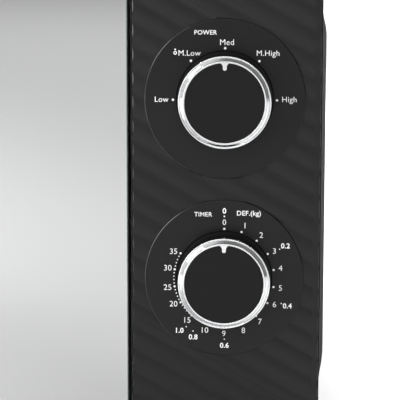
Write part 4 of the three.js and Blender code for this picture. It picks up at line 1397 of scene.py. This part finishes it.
# ------------------------------------------------------------------ door inner window
# A thin clear sheet behind the screen keeps food splashes out of the door. It is cut flat, with
# rounded corners.
window_sheet = clear_glass("window_sheet", (0.88, 0.9, 0.88, 1), 0.04, 0.1)
low, high = reach("door_inner_window")
settle(block(low, high, 2), "clear_window", window_sheet, "door", "door_inner_window")


# ------------------------------------------------------------------ choke cover
# A moulded black cover closes the back of the door round the window. The hooks reach through two
# slots in it.
cover_plastic = moulded("choke_cover_plastic", 0.012, 0.018, 0.42, 0.5, 0.02, level=0.35)
low, high = reach("choke_cover")
cover = cut_sheet(
    1,
    low.y,
    high.y,
    (low.x, high.x, low.z, high.z, 3),
    [(*WINDOW, 4)] + [(107.7, 111.4, slot_low, slot_high, 0.3) for slot_low, slot_high in HOOK_SLOTS],
)


def by_window(vert):
    """Whether a point of the cover's back face lies on the window's rim."""
    in_x = WINDOW[0] - 1 < vert.co.x < WINDOW[1] + 1
    in_z = WINDOW[2] - 1 < vert.co.z < WINDOW[3] + 1
    return in_x and in_z and vert.co.y > high.y - 0.01


window_rim = [e for e in sharp_edges(cover) if all(by_window(v) for v in e.verts)]
soften(cover, window_rim, 0.9, 3)
cover = carve(cover, edge_cutter)
settle(cover, "moulded_choke_cover", cover_plastic, "door", "choke_cover")


# ------------------------------------------------------------------ latch hook and spring
# Two hooked arms on one white nylon strip slide up and down inside the door. A steel coil spring
# above presses the strip down again.
hook_low, hook_high = reach("latch_hook")
hook_plate = block(hook_low, (hook_high.x, hook_low.y + 10, hook_high.z), 0.6, along=0)
ARM_ROOT = -148
tip = hook_high.y
for slot_low, slot_high in HOOK_SLOTS:
    outline = [
        (ARM_ROOT, slot_low + 5),
        (tip - 7, slot_low + 5, 0.6),
        (tip - 7, slot_low + 1, 0.6),
        (tip - 3, slot_low + 1, 0.8),
        (tip, slot_low + 5, 1),
        (tip, slot_low + 14, 1),
        (tip - 3, slot_low + 17, 1),
        (ARM_ROOT, slot_low + 17),
    ]
    arm = plate_of(outline, 0, hook_low.x, hook_high.x - hook_low.x, 3)
    hook_plate = carve(hook_plate, arm, "UNION")
settle(hook_plate, "nylon_hook_plate", white_nylon, "latch_hook", "latch_hook")

COIL_TURNS = 6
COIL_STEPS = 20 * COIL_TURNS
WIRE_R = 0.45
coil_low, coil_high = reach("latch_spring")
coil_x = (hook_low.x + hook_high.x) / 2
coil_y = hook_low.y + 5
coil_r = (coil_high.x - coil_low.x) / 2 - WIRE_R
coil = bmesh.new()
wire_end = Matrix.Translation((coil_r, 0, coil_low.z + WIRE_R)) @ Matrix.Rotation(math.pi / 2, 4, "X")
bmesh.ops.create_circle(coil, cap_ends=True, segments=8, radius=WIRE_R, matrix=wire_end)
bmesh.ops.spin(
    coil,
    geom=coil.faces[:],
    cent=(0, 0, 0),
    axis=(0, 0, 1),
    dvec=(0, 0, (coil_high.z - coil_low.z - 2 * WIRE_R) / COIL_STEPS),
    angle=math.tau * COIL_TURNS,
    steps=COIL_STEPS,
    use_duplicate=False,
)
bmesh.ops.recalc_face_normals(coil, faces=coil.faces)
bmesh.ops.translate(coil, vec=(coil_x, coil_y, 0), verts=coil.verts)
coil_spring = settle(coil, "hook_spring", shaft_steel, "door", "latch_spring")
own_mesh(coil_spring)


# ------------------------------------------------------------------ hinges
# Two folded steel brackets, fixed behind the front plate. Each has a tongue with a short pin that
# the door turns on.
HINGE_RIGHT = -202
TONGUE_LEFT = -213.5
LEG_LEFT = -208.5
LEG_THICK = 1.5
leg_front = plate_high.y + 0.3
leg_back = leg_front + LEG_THICK
for end, tongue_low, pin_end, leg_end in (("lower", 13.35, 17.5, 34), ("upper", 259.4, 256.6, 240)):
    tongue_high = tongue_low + 1.3
    tongue = ((TONGUE_LEFT, HINGE_Y - 5, tongue_low), (HINGE_RIGHT, plate_low.y - 0.3, tongue_high))
    bracket = block(*tongue, 1.5, along=2)
    strap = block((LEG_LEFT, plate_low.y - 1, tongue_low), (HINGE_RIGHT, leg_back, tongue_high))
    leg = block(
        (LEG_LEFT, leg_front, min(tongue_low, leg_end)),
        (HINGE_RIGHT, leg_back, max(tongue_high, leg_end)),
        0.5,
        along=1,
    )
    pin_low = min(tongue_low, pin_end)
    pin_high = max(tongue_high, pin_end)
    pin = turned(
        [(0, pin_low), (PIN_R, pin_low, 0.4), (PIN_R, pin_high, 0.4), (0, pin_high)],
        (HINGE_X, HINGE_Y, 0),
        "Z",
        28,
    )
    for part in (strap, leg, pin):
        bracket = carve(bracket, part, "UNION")
    settle(bracket, end + "_hinge_bracket", zinc, "chassis", end + "_hinge")
